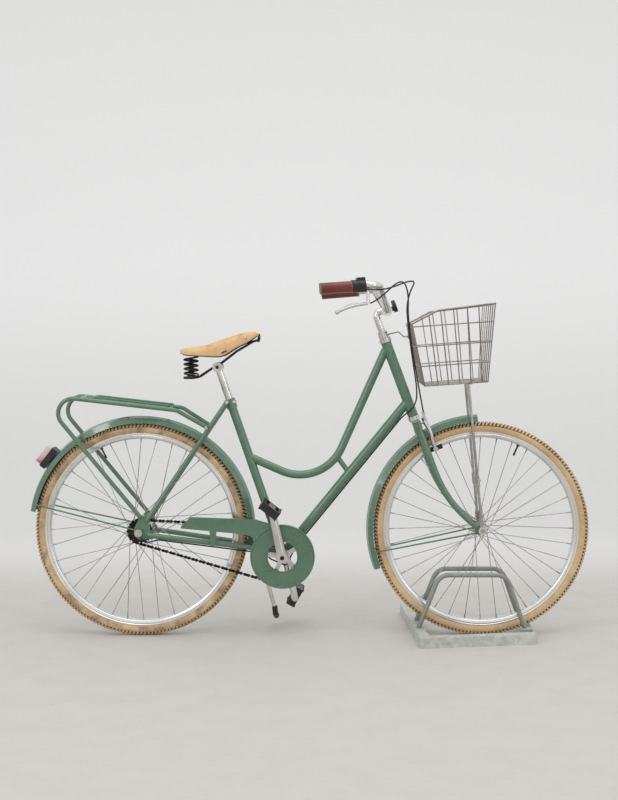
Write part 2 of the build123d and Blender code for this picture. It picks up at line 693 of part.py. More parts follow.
with BuildPart() as rear_rack_clip:
    clip_run = [
        at(104, -CLIP_Y, rail_z(104) + CLIP_LIFT), at(-150, -CLIP_Y, rail_z(-150) + CLIP_LIFT),
        at(-150, CLIP_Y, rail_z(-150) + CLIP_LIFT), at(104, CLIP_Y, rail_z(104) + CLIP_LIFT),
    ]
    bent_bar(clip_run, 24, CLIP_R, sides=8)
save(rear_rack_clip, "rear_rack_clip")

LAMP_DEG = 141.8
LAMP_BASE_R = GUARD_R + SEAT_GAP
LAMP_HOUSING_T = 20.0
LAMP_LENS_T = 18.0

with BuildPart() as rear_lamp_housing:
    with BuildSketch(wheel_plane(0, LAMP_DEG)) as housing:
        with Locations((0, LAMP_BASE_R + LAMP_HOUSING_T / 2)):
            Rectangle(50, LAMP_HOUSING_T)
    extrude(housing.sketch, amount=36, both=True)
    fillet(rear_lamp_housing.edges().filter_by(GeomType.LINE).group_by(Axis.X)[0], radius=4)
save(rear_lamp_housing, "rear_lamp_housing")

with BuildPart() as rear_lamp_lens:
    with BuildSketch(wheel_plane(0, LAMP_DEG)) as lens:
        with Locations((0, LAMP_BASE_R + LAMP_HOUSING_T + LAMP_LENS_T / 2)):
            Rectangle(44, LAMP_LENS_T)
    extrude(lens.sketch, amount=31, both=True)
save(rear_lamp_lens, "rear_lamp_lens")

CASE_Y = -56.0
CASE_DEPTH = 8.5
CASE_T = 1.5
CASE_DISC_R = 105.0
CASE_HOLE_R = 48.0
CASE_TAIL = [(135, 363), (137, 371), (167, 400), (379, 392), (440, 372), (440, 240), (362, 338), (314, 346)]
CASE_TAB_X = 240.0


def case_face(plane, shrink):
    """Outline of the chain guard: a disc round the cranks with a tail along the chain."""
    with BuildSketch(plane) as section:
        with Locations((BB_X, BB_Z)):
            Circle(CASE_DISC_R)
        with BuildLine():
            Polyline(*CASE_TAIL, close=True)
        make_face()
        if shrink:
            offset(amount=-shrink, mode=Mode.REPLACE)
    return section.sketch


tab_share = (CASE_TAB_X - CHAIN_STAY_REAR[0]) / (CHAIN_STAY_FRONT[0] - CHAIN_STAY_REAR[0])
tab_y = CHAIN_STAY_REAR[1] + (CHAIN_STAY_FRONT[1] - CHAIN_STAY_REAR[1]) * tab_share + CHAIN_STAY_R + 2 * SEAT_GAP
tab_z = CHAIN_STAY_REAR[2] + (CHAIN_STAY_FRONT[2] - CHAIN_STAY_REAR[2]) * tab_share

with BuildPart() as chain_guard:
    extrude(case_face(side(CASE_Y), 0), amount=CASE_DEPTH)
    extrude(case_face(side(CASE_Y), CASE_T), amount=CASE_DEPTH - CASE_T, mode=Mode.SUBTRACT)
    cross_bar(BB_X, BB_Z, CASE_Y - CASE_DEPTH - 1, CASE_Y, CASE_HOLE_R, mode=Mode.SUBTRACT)
    tab = [(CASE_TAB_X - 12, 356), (CASE_TAB_X + 12, 354), (CASE_TAB_X + 7, tab_z - 6), (CASE_TAB_X - 7, tab_z - 6)]
    plate(tab, CASE_Y - CASE_DEPTH, CASE_Y - CASE_DEPTH + CASE_T)
    cross_bar(CASE_TAB_X, tab_z, CASE_Y - CASE_DEPTH, -tab_y, 5)
save(chain_guard, "chain_guard")

# Side stand on the left, hinged to a bracket under the chain stays. Its leg keeps inside the swing of the
# crank as far as the knee, and turns outwards only below the swing of the pedal
KICK_PIVOT = (385.0, 44.0, 262.0)
KICK_KNEE = (436.0, 56.0, 60.0)
KICK_FOOT = (434.0, 138.0, 30.0)
KICK_BEND = 20.0
KICK_PIN_R = 5.0
KICK_EYE_R = 11.0
KICK_LEG_R = 6.5
KICK_FOOT_L = 34.0
KICK_FOOT_R = 9.5
BRACKET_TOP = 281.0
kick_pivot = at(*KICK_PIVOT)
kick_axis = Vector(0, 1, 0)
kick_end = (at(*KICK_FOOT) - at(*KICK_KNEE)).normalized()
kick_foot_start = at(*KICK_FOOT) - kick_end * KICK_FOOT_L

with BuildPart() as kickstand_bracket:
    block((368, 402), (-26, 31), (269, BRACKET_TOP))
    block((372, 398), (8, 25), (250, 269))
    round_bar(kick_pivot - kick_axis * 26, kick_pivot - kick_axis * 7.8, 10)
    round_bar(kick_pivot - kick_axis * 8, kick_pivot + kick_axis * 8, KICK_PIN_R)
save(kickstand_bracket, "kickstand_bracket")

with BuildPart() as kickstand_leg:
    round_bar(kick_pivot - kick_axis * 7, kick_pivot + kick_axis * 7, KICK_EYE_R)
    bent_bar([kick_pivot, at(*KICK_KNEE), kick_foot_start], KICK_BEND, KICK_LEG_R)
    round_bar(kick_pivot - kick_axis * 9, kick_pivot + kick_axis * 9, KICK_PIN_R + RUN_FIT, mode=Mode.SUBTRACT)
save(kickstand_leg, "kickstand_leg")

with BuildPart() as kickstand_foot:
    round_bar(kick_foot_start, at(*KICK_FOOT), KICK_FOOT_R)
save(kickstand_foot, "kickstand_foot")

# Fork, with its crown, blades, ends and steerer
BLADE_Y = 51.0
BLADE_R = 13.0
BLADE_TIP_R = 8.0
KNEE_H = -175.0
CROWN_TOP_H = -CUP_H - 1.0
CROWN_T = 26.0
fork_down = (head(0) - head(1)).normalized()
fork_front = Vector(-fork_down.Z, 0, fork_down.X)
BLADE_TIP = (WHEELBASE - 20.0, AXLE_Z + 13.0)
FORK_END_OUTLINE = [
    (WHEELBASE - 26, AXLE_Z + 22), (WHEELBASE - 6, AXLE_Z + 16), (WHEELBASE + 9, AXLE_Z + 8),
    (WHEELBASE + 10, AXLE_Z - 8), (WHEELBASE - 4, AXLE_Z - 12), (WHEELBASE - 22, AXLE_Z - 12),
]
GUARD_TAB_H = -54.3

with BuildPart() as fork:
    with BuildSketch(Plane(origin=head(CROWN_TOP_H), x_dir=(0, 1, 0), z_dir=fork_down)) as crown:
        RectangleRounded(2 * (BLADE_Y + BLADE_R), 2 * BLADE_R + 2, 8)
    extrude(crown.sketch, amount=CROWN_T)
    round_bar(head(CROWN_TOP_H), head(HEAD_L + CUP_H + 20), STEERER_R)
    round_bar(head(CROWN_TOP_H), head(GUARD_TAB_H), 6)
    for hand in (-1, 1):
        knee = head(KNEE_H, hand * BLADE_Y)
        tip = at(BLADE_TIP[0], hand * BLADE_Y, BLADE_TIP[1])
        round_bar(head(CROWN_TOP_H - 1, hand * BLADE_Y), knee, BLADE_R)
        with BuildLine() as rake:
            TangentArc(knee, tip, tangent=fork_down)
        with BuildSketch(Plane(origin=knee, z_dir=fork_down)) as blade_top:
            Circle(BLADE_R)
        with BuildSketch(Plane(origin=tip, z_dir=rake.line % 1)) as blade_low:
            Circle(BLADE_TIP_R)
        sweep([blade_top.sketch, blade_low.sketch], path=rake.line, multisection=True)
        plate(FORK_END_OUTLINE, min(hand * FORK_END_Y, hand * (FORK_END_Y + FORK_END_T)),
              max(hand * FORK_END_Y, hand * (FORK_END_Y + FORK_END_T)))
    cross_bar(WHEELBASE, AXLE_Z, -90, 90, FRONT_AXLE_R, mode=Mode.SUBTRACT)
save(fork, "fork")

STRUT_EYE_Y = FORK_END_Y + FORK_END_T + SEAT_GAP
STRUT_EYE_T = 3.0
FRONT_NUT_Y = STRUT_EYE_Y + STRUT_EYE_T + SEAT_GAP

with BuildPart() as front_axle:
    cross_bar(WHEELBASE, AXLE_Z, -FRONT_NUT_Y - 9, FRONT_NUT_Y + 9, FRONT_AXLE_R)
    for hand in (-1, 1):
        nut_start = at(WHEELBASE, hand * FRONT_NUT_Y, AXLE_Z)
        facet_bar(nut_start, at(WHEELBASE, hand * (FRONT_NUT_Y + 8), AXLE_Z), 9, sides=6)
save(front_axle, "front_axle")

# Stem, handlebar and controls
LOCKNUT_R = 17.0
QUILL_R = 11.5
QUILL_H = HEAD_L + CUP_H + 20
QUILL_CORNER_H = 362.0
BAR_CLAMP = (WHEELBASE - 305.0, 1064.0)
BAR_R = 11.0
BAR_OUT = (BAR_CLAMP[0], 56.0, BAR_CLAMP[1])
BAR_BACK = (WHEELBASE - 340.0, 260.0, 1140.0)
BAR_END = (WHEELBASE - 513.0, 291.0, 1128.0)
BAR_BEND = 34.0
GRIP_R = 17.0
GRIP_CAP = 5.0
GRIP_RIGHT_L = 92.0
GRIP_LEFT_L = 124.0
SHIFTER_L = 42.0
SHIFTER_R = 19.5
SHIFTER_HUMP = (26.0, 22.0, 6.0)

with BuildPart() as stem:
    round_bar(head(HEAD_L + CUP_H + 1), head(HEAD_L + CUP_H + 14), LOCKNUT_R)
    round_bar(head(HEAD_L + CUP_H), head(HEAD_L + CUP_H + 20), STEERER_R, mode=Mode.SUBTRACT)
    round_bar(head(HEAD_L + CUP_H + 14), head(QUILL_H), QUILL_R + 4)
    round_bar(head(HEAD_L + CUP_H), head(QUILL_H), STEERER_R, mode=Mode.SUBTRACT)
    bent_bar([head(QUILL_H), head(QUILL_CORNER_H), spot(BAR_CLAMP)], 16, QUILL_R)
    round_bar(head(QUILL_H), head(QUILL_H + 4), QUILL_R + 4)
    cross_bar(*BAR_CLAMP, -22, 22, 17)
    cross_bar(*BAR_CLAMP, -23, 23, BAR_R, mode=Mode.SUBTRACT)
save(stem, "stem")

with BuildPart() as handlebar:
    bar_run = [
        mirrored(BAR_END, -1), mirrored(BAR_BACK, -1), mirrored(BAR_OUT, -1),
        mirrored(BAR_OUT, 1), mirrored(BAR_BACK, 1), mirrored(BAR_END, 1),
    ]
    bent_bar(bar_run, BAR_BEND, BAR_R)
save(handlebar, "handlebar")


def grip_point(hand, distance):
    """Point on the straight rear part of the handlebar, measured from its end."""
    end = mirrored(BAR_END, hand)
    return end + (mirrored(BAR_BACK, hand) - end).normalized() * distance


with BuildPart() as grips:
    for hand, grip_length in ((-1, GRIP_RIGHT_L), (1, GRIP_LEFT_L)):
        round_bar(grip_point(hand, -GRIP_CAP), grip_point(hand, grip_length), GRIP_R)
        round_bar(grip_point(hand, 0), grip_point(hand, grip_length), BAR_R, mode=Mode.SUBTRACT)
save(grips, "grips")

with BuildPart() as gear_shifter:
    round_bar(grip_point(-1, GRIP_RIGHT_L + SEAT_GAP), grip_point(-1, GRIP_RIGHT_L + SHIFTER_L), SHIFTER_R)
    hump = grip_point(-1, GRIP_RIGHT_L + SHIFTER_L - SHIFTER_HUMP[0])
    hump_end = grip_point(-1, GRIP_RIGHT_L + SHIFTER_L)
    with BuildSketch(Plane(origin=hump, x_dir=(0, 1, 0), z_dir=hump_end - hump)) as hump_section:
        with Locations((0, SHIFTER_R / 2 + SHIFTER_HUMP[2] / 2)):
            Rectangle(SHIFTER_HUMP[1], SHIFTER_R + SHIFTER_HUMP[2])
    extrude(hump_section.sketch, amount=SHIFTER_HUMP[0])
    round_bar(grip_point(-1, GRIP_RIGHT_L), grip_point(-1, GRIP_RIGHT_L + SHIFTER_L + 1), BAR_R, mode=Mode.SUBTRACT)
save(gear_shifter, "gear_shifter")

LEVER_RING = GRIP_RIGHT_L + SHIFTER_L + 1.6
LEVER_ROOT = (WHEELBASE - 373.0, -266.0, 1083.0)
LEVER_BEND = (WHEELBASE - 431.0, -276.0, 1077.0)
LEVER_TIP = (WHEELBASE - 467.0, -284.0, 1056.0)
LEVER_R = 4.5
lever_root = at(*LEVER_ROOT)

with BuildPart() as brake_lever:
    bent_bar([lever_root, at(*LEVER_BEND), at(*LEVER_TIP)], 30, LEVER_R, sides=8)
    round_bar(grip_point(-1, LEVER_RING), grip_point(-1, LEVER_RING + 10), 16)
    round_bar(grip_point(-1, LEVER_RING + 5), lever_root, LEVER_R + 1)
    round_bar(grip_point(-1, LEVER_RING - 1), grip_point(-1, LEVER_RING + 11), BAR_R, mode=Mode.SUBTRACT)
save(brake_lever, "brake_lever")

# Front brake round the mudguard, with its rubber blocks beside the rim
CALIPER_H = -18.0
CALIPER_FRONT = 26.0
CALIPER_T = 8.0
PAD_DROP = 104.0
PAD_INNER = RIM_HALF + 5.0
PAD_OUTER = PAD_INNER + 10.0
ARM_INNER = 32.0
ARM_OUTER = 42.0
caliper_plane = Plane(origin=head(CALIPER_H) + fork_front * CALIPER_FRONT, x_dir=(0, 1, 0), z_dir=fork_front)

with BuildPart() as brake_caliper:
    with BuildSketch(caliper_plane) as yoke:
        with Locations((0, -57)):
            Rectangle(2 * ARM_OUTER, 110)
        with Locations((0, -70)):
            Rectangle(2 * ARM_INNER, 90, mode=Mode.SUBTRACT)
    extrude(yoke.sketch, amount=CALIPER_T)
    round_bar(head(CALIPER_H - 12) + fork_front * (BLADE_R + 1 + SEAT_GAP),
              head(CALIPER_H - 12) + fork_front * CALIPER_FRONT, 5)
    for hand in (-1, 1):
        post = head(CALIPER_H - PAD_DROP) + fork_front * (CALIPER_FRONT + CALIPER_T / 2)
        round_bar(post + Vector(0, hand * (ARM_INNER + 1), 0), post + Vector(0, hand * PAD_OUTER, 0), 3.5)
save(brake_caliper, "brake_caliper")

with BuildPart() as brake_pads:
    with BuildSketch(caliper_plane) as pads:
        for hand in (-1, 1):
            with Locations((hand * (PAD_INNER + PAD_OUTER) / 2, -PAD_DROP)):
                Rectangle(PAD_OUTER - PAD_INNER, 14)
    extrude(pads.sketch, amount=CALIPER_T / 2 + 24)
    extrude(pads.sketch, amount=-(24 - CALIPER_T / 2))
save(brake_pads, "brake_pads")

REFLECTOR_TILT_DEG = 20.0
REFLECTOR_R = 20.0
REFLECTOR_T = 12.0
REFLECTOR_RISE = 6.0
CARRIER_L = 5.0
CARRIER_R = 8.0
CLAMP_R = 17.0
reflector_out = Vector(cos(radians(REFLECTOR_TILT_DEG)), 0, sin(radians(REFLECTOR_TILT_DEG)))
reflector_up = Vector(-reflector_out.Z, 0, reflector_out.X)
carrier_start = spot(BAR_CLAMP) + reflector_out * (CLAMP_R + SEAT_GAP)
reflector_back = carrier_start + reflector_out * CARRIER_L + reflector_up * REFLECTOR_RISE

with BuildPart() as front_reflector:
    round_bar(carrier_start, carrier_start + reflector_out * (CARRIER_L + 1), CARRIER_R)
    round_bar(reflector_back, reflector_back + reflector_out * REFLECTOR_T, REFLECTOR_R)
save(front_reflector, "front_reflector")

# Wire basket: five flat grilles, a stay to the headset and two struts to the front axle
BASKET_LOW = 831.0
BASKET_REAR = WHEELBASE - 191.0
BASKET_FRONT = WHEELBASE + 7.0
BASKET_MID = WHEELBASE - 93.0
BASKET_TILT = 0.065
BASKET_HALF = 130.0
REAR_RAKE = -0.211
FRONT_RAKE = 0.075
SIDE_FLARE = 0.152
BASKET_TOP_REAR = 1030.0
BASKET_KINK = (WHEELBASE - 154.0, 1066.0)
BASKET_TOP_FRONT = 1075.0
WIRE_R = 1.9
RIM_WIRE_R = 3.2
BASKET_LEVELS = (BASKET_LOW, 894.0, 957.0, 1020.0)
SIDE_LOW_SHARES = (0, 0.211, 0.378, 0.556, 0.734, 0.911, 1)
SIDE_TOP_SHARES = (0, 0.218, 0.361, 0.513, 0.673, 0.808, 1)
END_WIRES = 6


def basket_x(share, z):
    """Lengthwise position a share of the way from the rear to the front of the basket."""
    rear = BASKET_REAR + REAR_RAKE * (z - BASKET_LOW)
    front = BASKET_FRONT + FRONT_RAKE * (z - BASKET_LOW)
    return rear + (front - rear) * share


def basket_at(x, y, z):
    """Point of the basket, which leans back a little, given as if it stood level."""
    return at(x, y, z + BASKET_TILT * (x - BASKET_MID))


def basket_half(z):
    """Half width of the basket at a height."""
    return BASKET_HALF + SIDE_FLARE * (z - BASKET_LOW)


def side_top(share):
    """Height of the basket's side edge: low at the rear, a kink, then a gentle rise."""
    x = basket_x(share, BASKET_TOP_FRONT)
    if x < BASKET_KINK[0]:
        start = basket_x(0, BASKET_TOP_FRONT)
        return BASKET_TOP_REAR + (BASKET_KINK[1] - BASKET_TOP_REAR) * (x - start) / (BASKET_KINK[0] - start)
    end = basket_x(1, BASKET_TOP_FRONT)
    return BASKET_KINK[1] + (BASKET_TOP_FRONT - BASKET_KINK[1]) * (x - BASKET_KINK[0]) / (end - BASKET_KINK[0])


def side_point(hand, share, z):
    """Point on a side grille."""
    return basket_at(basket_x(share, z), hand * basket_half(z), z)


def side_grille(hand):
    """Wires of one side."""
    wires = []
    for low_share, top_share in zip(SIDE_LOW_SHARES, SIDE_TOP_SHARES):
        foot = side_point(hand, low_share, BASKET_LOW)
        edge = side_point(hand, top_share, side_top(top_share))
        wires.append(facet_bar(foot, edge, WIRE_R, mode=Mode.PRIVATE))
    for level in BASKET_LEVELS:
        wires.append(
            facet_bar(side_point(hand, 0, level), side_point(hand, 1, level), WIRE_R, mode=Mode.PRIVATE)
        )
    kink = (BASKET_KINK[0] - basket_x(0, BASKET_TOP_FRONT)) / (
        basket_x(1, BASKET_TOP_FRONT) - basket_x(0, BASKET_TOP_FRONT)
    )
    corners = [side_point(hand, share, side_top(share)) for share in (0, kink, 1)]
    wires.append(facet_bar(corners[0], corners[1], RIM_WIRE_R, sides=6, mode=Mode.PRIVATE))
    wires.append(facet_bar(corners[1], corners[2], RIM_WIRE_R, sides=6, mode=Mode.PRIVATE))
    return wires


def end_grille(share, top):
    """Wires of the rear or front, ending just short of the side grilles."""
    wires = []
    for number in range(1, END_WIRES):
        across_share = 2 * number / END_WIRES - 1
        foot = basket_at(basket_x(share, BASKET_LOW), across_share * basket_half(BASKET_LOW), BASKET_LOW)
        head_end = basket_at(basket_x(share, top), across_share * basket_half(top), top)
        wires.append(facet_bar(foot, head_end, WIRE_R, mode=Mode.PRIVATE))
    for level, radius, sides in [*((z, WIRE_R, 4) for z in BASKET_LEVELS), (top, RIM_WIRE_R, 6)]:
        half = basket_half(level) - radius - SEAT_GAP
        start = basket_at(basket_x(share, level), -half, level)
        end = basket_at(basket_x(share, level), half, level)
        wires.append(facet_bar(start, end, radius, sides, mode=Mode.PRIVATE))
    return wires


def floor_grille():
    """Wires of the floor, ending just short of the other grilles."""
    wires = []
    inset = WIRE_R + SEAT_GAP
    half = BASKET_HALF - inset
    for share in SIDE_LOW_SHARES[1:-1]:
        x = basket_x(share, BASKET_LOW)
        start = basket_at(x, -half, BASKET_LOW)
        wires.append(facet_bar(start, basket_at(x, half, BASKET_LOW), WIRE_R, mode=Mode.PRIVATE))
    for number in range(1, END_WIRES):
        y = (2 * number / END_WIRES - 1) * BASKET_HALF
        start = basket_at(BASKET_REAR + inset, y, BASKET_LOW)
        end = basket_at(BASKET_FRONT - inset, y, BASKET_LOW)
        wires.append(facet_bar(start, end, WIRE_R, mode=Mode.PRIVATE))
    return wires


with BuildPart() as basket:
    add(side_grille(-1))
    add(side_grille(1))
    add(end_grille(0, BASKET_TOP_REAR))
    add(end_grille(1, BASKET_TOP_FRONT))
    add(floor_grille())
save(basket, "basket")

STRUT_R = 4.5
STRUT_TOP = (WHEELBASE - 45.0, 47.0)
STRUT_BAR_HALF = 12.0
STRAP_TOP = 402.0
STRUT_BAR_TOP = BASKET_LOW + BASKET_TILT * (STRUT_TOP[0] - STRUT_BAR_HALF - BASKET_MID) - WIRE_R - SEAT_GAP
STRUT_BAR_T = 5.0
strut_y = STRUT_EYE_Y + STRUT_EYE_T / 2
strap_x = WHEELBASE + (STRUT_TOP[0] - WHEELBASE) * (STRAP_TOP - AXLE_Z) / (STRUT_BAR_TOP - AXLE_Z)

with BuildPart() as basket_supports:
    strut_bar = (STRUT_TOP[0] - STRUT_BAR_HALF, STRUT_TOP[0] + STRUT_BAR_HALF)
    block(strut_bar, (-56, 56), (STRUT_BAR_TOP - STRUT_BAR_T, STRUT_BAR_TOP))
    for hand in (-1, 1):
        strap_y = sorted((hand * STRUT_EYE_Y, hand * (STRUT_EYE_Y + STRUT_EYE_T)))
        cross_bar(WHEELBASE, AXLE_Z, *strap_y, 10)
        strap = [(WHEELBASE - 6, AXLE_Z), (WHEELBASE + 6, AXLE_Z), (strap_x + 6, STRAP_TOP), (strap_x - 6, STRAP_TOP)]
        plate(strap, *strap_y)
        strut_low = at(strap_x, hand * strut_y, STRAP_TOP - 8)
        strut_high = at(STRUT_TOP[0], hand * STRUT_TOP[1], STRUT_BAR_TOP - STRUT_BAR_T / 2)
        strut_run = (strut_high - strut_low).normalized()
        round_bar(strut_low, strut_high, STRUT_R)
        round_bar(strut_low + strut_run * 100, strut_low + strut_run * 136, STRUT_R + 2.5)
    cross_bar(WHEELBASE, AXLE_Z, -90, 90, FRONT_AXLE_R, mode=Mode.SUBTRACT)
save(basket_supports, "basket_supports")

STAY_WIRE_R = 2.2
stay_start = head(HEAD_L + CUP_H + 8) + fork_front * (LOCKNUT_R + SEAT_GAP)
STAY_LEVEL = 990.0
STAY_RISE = (WHEELBASE - 268.0, 996.0)
STAY_DIP = (WHEELBASE - 249.0, 979.0)
CLIP_T = 8.0
CLIP_HALF = 8.0
STAY_HEIGHT = STAY_LEVEL + BASKET_TILT * (basket_x(0, STAY_LEVEL) - BASKET_MID)
stay_clip_x = basket_x(0, STAY_LEVEL) - WIRE_R - 2 * SEAT_GAP - CLIP_HALF * abs(REAR_RAKE) - CLIP_T

with BuildPart() as basket_stay:
    stay_run = [stay_start, spot(STAY_RISE), spot(STAY_DIP), at(stay_clip_x, 0, STAY_HEIGHT)]
    bent_bar(stay_run, 7, STAY_WIRE_R, sides=6)
    stay_clip = (stay_clip_x - 1, stay_clip_x + CLIP_T)
    block(stay_clip, (-9, 9), (STAY_HEIGHT - CLIP_HALF, STAY_HEIGHT + CLIP_HALF))
save(basket_stay, "basket_stay")

# Floor stand that holds the front wheel
HOOP_R = 7.5
HOOP_Y = 53.5
HOOP_FEET = (WHEELBASE - 207.0, WHEELBASE + 137.0)
HOOP_TOP = (WHEELBASE - 138.0, WHEELBASE + 77.0, 207.0)
HOOP_BEND = 45.0
BASE_H = 33.0
BASE_T = 4.0
BASE_NEAR = (WHEELBASE - 210.0, -190.0)
BASE_CORNER = (WHEELBASE + 163.0, -135.0)
BASE_REAR_END = (WHEELBASE - 248.0, 300.0)
BASE_FRONT_Y = 300.0
BASE_HOLES = (80.0, 300.0)
BASE_HOLE_R = 4.5
FOOT_PAD = 14.0
near_run = (at(*BASE_CORNER, 0) - at(*BASE_NEAR, 0)).normalized()
near_out = Vector(near_run.Y, -near_run.X, 0)


def rail(start, end, width, z_low, z_high):
    """Straight strip of the base, as wide as given on its inner side."""
    run = (at(*end, 0) - at(*start, 0)).normalized()
    inward = Vector(-run.Y, run.X, 0) * width
    corners = [at(*start, 0), at(*end, 0), at(*end, 0) + inward, at(*start, 0) + inward]
    with BuildSketch(Plane(origin=(0, 0, z_low))) as strip:
        with BuildLine():
            Polyline(*[(corner.X, corner.Y) for corner in corners], close=True)
        make_face()
    extrude(strip.sketch, amount=z_high - z_low)


with BuildPart() as stand_hoops:
    for hoop_y in (-HOOP_Y, HOOP_Y):
        hoop_run = [
            at(HOOP_FEET[0], hoop_y, BASE_H), at(HOOP_TOP[0], hoop_y, HOOP_TOP[2]),
            at(HOOP_TOP[1], hoop_y, HOOP_TOP[2]), at(HOOP_FEET[1], hoop_y, BASE_H),
        ]
        bent_bar(hoop_run, HOOP_BEND, HOOP_R)
    feet_span = (HOOP_FEET[0] - 40, HOOP_FEET[1] + 40)
    block(feet_span, (-HOOP_Y - 20, HOOP_Y + 20), (BASE_H - 20, BASE_H), mode=Mode.SUBTRACT)
save(stand_hoops, "stand_hoops")

with BuildPart() as stand_base:
    rail(BASE_NEAR, BASE_CORNER, BASE_T, 0, BASE_H)
    rail(BASE_NEAR, BASE_CORNER, BASE_H, BASE_H - BASE_T, BASE_H)
    rail(BASE_REAR_END, BASE_NEAR, BASE_T, 0, BASE_H)
    rail(BASE_REAR_END, BASE_NEAR, BASE_H, BASE_H - BASE_T, BASE_H)
    block((BASE_CORNER[0] - BASE_T, BASE_CORNER[0]), (BASE_CORNER[1], BASE_FRONT_Y), (0, BASE_H))
    for foot_y in (-HOOP_Y, HOOP_Y):
        pad_span = (HOOP_FEET[1] - FOOT_PAD, BASE_CORNER[0])
        block(pad_span, (foot_y - FOOT_PAD, foot_y + FOOT_PAD), (BASE_H - BASE_T, BASE_H))
    for distance in BASE_HOLES:
        hole = at(*BASE_NEAR, BASE_H / 2) + near_run * distance
        round_bar(hole + near_out, hole - near_out * (BASE_T + 1), BASE_HOLE_R, mode=Mode.SUBTRACT)
save(stand_base, "stand_base")

# Brake and gear cables
CABLE_R = 2.4
CABLE_BEND = 24.0
caliper_top = head(CALIPER_H - 1.4) + fork_front * (CALIPER_FRONT + CALIPER_T / 2) + Vector(0, -37, 0)
BRAKE_CABLE = [
    (WHEELBASE - 344, -263, 1091), (WHEELBASE - 265, -155, 1166), (WHEELBASE - 240, -108, 1122),
    (WHEELBASE - 242, -72, 1040), (WHEELBASE - 211, -52, 845),
]
GEAR_CABLE_UPPER = [
    (WHEELBASE - 341, -280, 1114), (WHEELBASE - 214, -147, 1167), (WHEELBASE - 241, -94, 1114),
    (WHEELBASE - 246, -60, 1040), (WHEELBASE - 215, -42, 845),
]
GEAR_CABLE_END = [(424, -24, 256), (404, -31, 276), (62, -59, 325), (30, -78, 320), (5, -86, 339)]
TUBE_DROP = DOWN_TUBE_R + CABLE_R + SEAT_GAP
tube_run = (spot(DOWN_TUBE_HEAD) - spot((BB_X, BB_Z))).normalized()
tube_under = Vector(tube_run.Z, 0, -tube_run.X) * TUBE_DROP

with BuildPart() as brake_cable:
    brake_start = lever_root + (lever_root - at(*LEVER_BEND)).normalized() * (LEVER_R + 2)
    brake_run = [brake_start, *[at(*point) for point in BRAKE_CABLE], caliper_top]
    bent_bar(brake_run, CABLE_BEND, CABLE_R, sides=6)
save(brake_cable, "brake_cable")

with BuildPart() as gear_cable_upper:
    gear_start = grip_point(-1, GRIP_RIGHT_L + SHIFTER_L - 8) + Vector(0, -21.6, -7.0)
    bent_bar([gear_start, *[at(*point) for point in GEAR_CABLE_UPPER]], CABLE_BEND, CABLE_R, sides=6)
save(gear_cable_upper, "gear_cable_upper")

with BuildPart() as gear_cable_lower:
    under_run = [spot((BB_X, BB_Z)) + tube_run * 590 + tube_under, spot((BB_X, BB_Z)) + tube_run * 45 + tube_under]
    bent_bar([*under_run, at(474, -10, 230), *[at(*point) for point in GEAR_CABLE_END]], 9, CABLE_R, sides=6)
save(gear_cable_lower, "gear_cable_lower")
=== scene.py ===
# %% [markdown]
# # A retro city bicycle in a floor stand
# The solid model arrives first and stays where it is: every node already sits in place, in metres.
# This lesson dresses it. Plain stand-ins such as the few-sided spokes give way to finer pieces,
# every surface gets a worn, procedural finish, and a camera and soft light show the whole bicycle.

import json
import math

import bmesh
import bpy
from mathutils import Matrix, Vector

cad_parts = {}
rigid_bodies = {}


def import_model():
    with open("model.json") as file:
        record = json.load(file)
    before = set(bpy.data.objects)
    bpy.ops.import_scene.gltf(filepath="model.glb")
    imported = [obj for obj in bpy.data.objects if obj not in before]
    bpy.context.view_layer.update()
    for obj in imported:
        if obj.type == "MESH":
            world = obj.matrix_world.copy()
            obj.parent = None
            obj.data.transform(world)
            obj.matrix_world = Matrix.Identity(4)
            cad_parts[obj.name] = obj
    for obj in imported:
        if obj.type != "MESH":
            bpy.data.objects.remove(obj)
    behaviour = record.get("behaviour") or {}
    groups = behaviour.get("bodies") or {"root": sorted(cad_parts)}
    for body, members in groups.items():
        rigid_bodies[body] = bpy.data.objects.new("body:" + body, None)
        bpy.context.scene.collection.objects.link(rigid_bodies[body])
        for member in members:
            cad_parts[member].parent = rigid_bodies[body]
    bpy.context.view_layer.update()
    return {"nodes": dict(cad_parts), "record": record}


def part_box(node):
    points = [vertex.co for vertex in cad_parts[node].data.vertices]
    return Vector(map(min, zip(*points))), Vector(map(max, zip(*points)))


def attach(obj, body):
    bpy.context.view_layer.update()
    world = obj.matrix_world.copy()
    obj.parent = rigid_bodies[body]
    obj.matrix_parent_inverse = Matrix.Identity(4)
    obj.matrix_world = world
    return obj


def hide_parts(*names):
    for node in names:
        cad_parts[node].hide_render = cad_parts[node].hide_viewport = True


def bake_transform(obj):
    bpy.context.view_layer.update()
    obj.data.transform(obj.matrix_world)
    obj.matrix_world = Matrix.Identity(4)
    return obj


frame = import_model()

# %% [markdown]
# All places below are measured from the rear axle, x forward, y to the left and z up from the floor,
# in millimetres, the way a frame builder writes them. The axle itself is read off the rear tyre node,
# so the dressing follows the solid model if that moves.

# %% Places
MM = 0.001
WHEELBASE = 1113.0
AXLE_Z = 351.0

rear_low, rear_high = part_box("rear_tyre")
AXLE_X = (rear_low[0] + rear_high[0]) / 2


def at(x, y, z):
    return Vector((AXLE_X + x * MM, y * MM, z * MM))


print("rear axle at", tuple(round(v, 4) for v in at(0, 0, AXLE_Z)))

# %% [markdown]
# ## Writing shaders as sums
# A shader is a net of small nodes. Linking each one by hand hides the idea, so one small class wraps
# a socket: adding or multiplying two wrapped sockets puts in the Math node that does it.

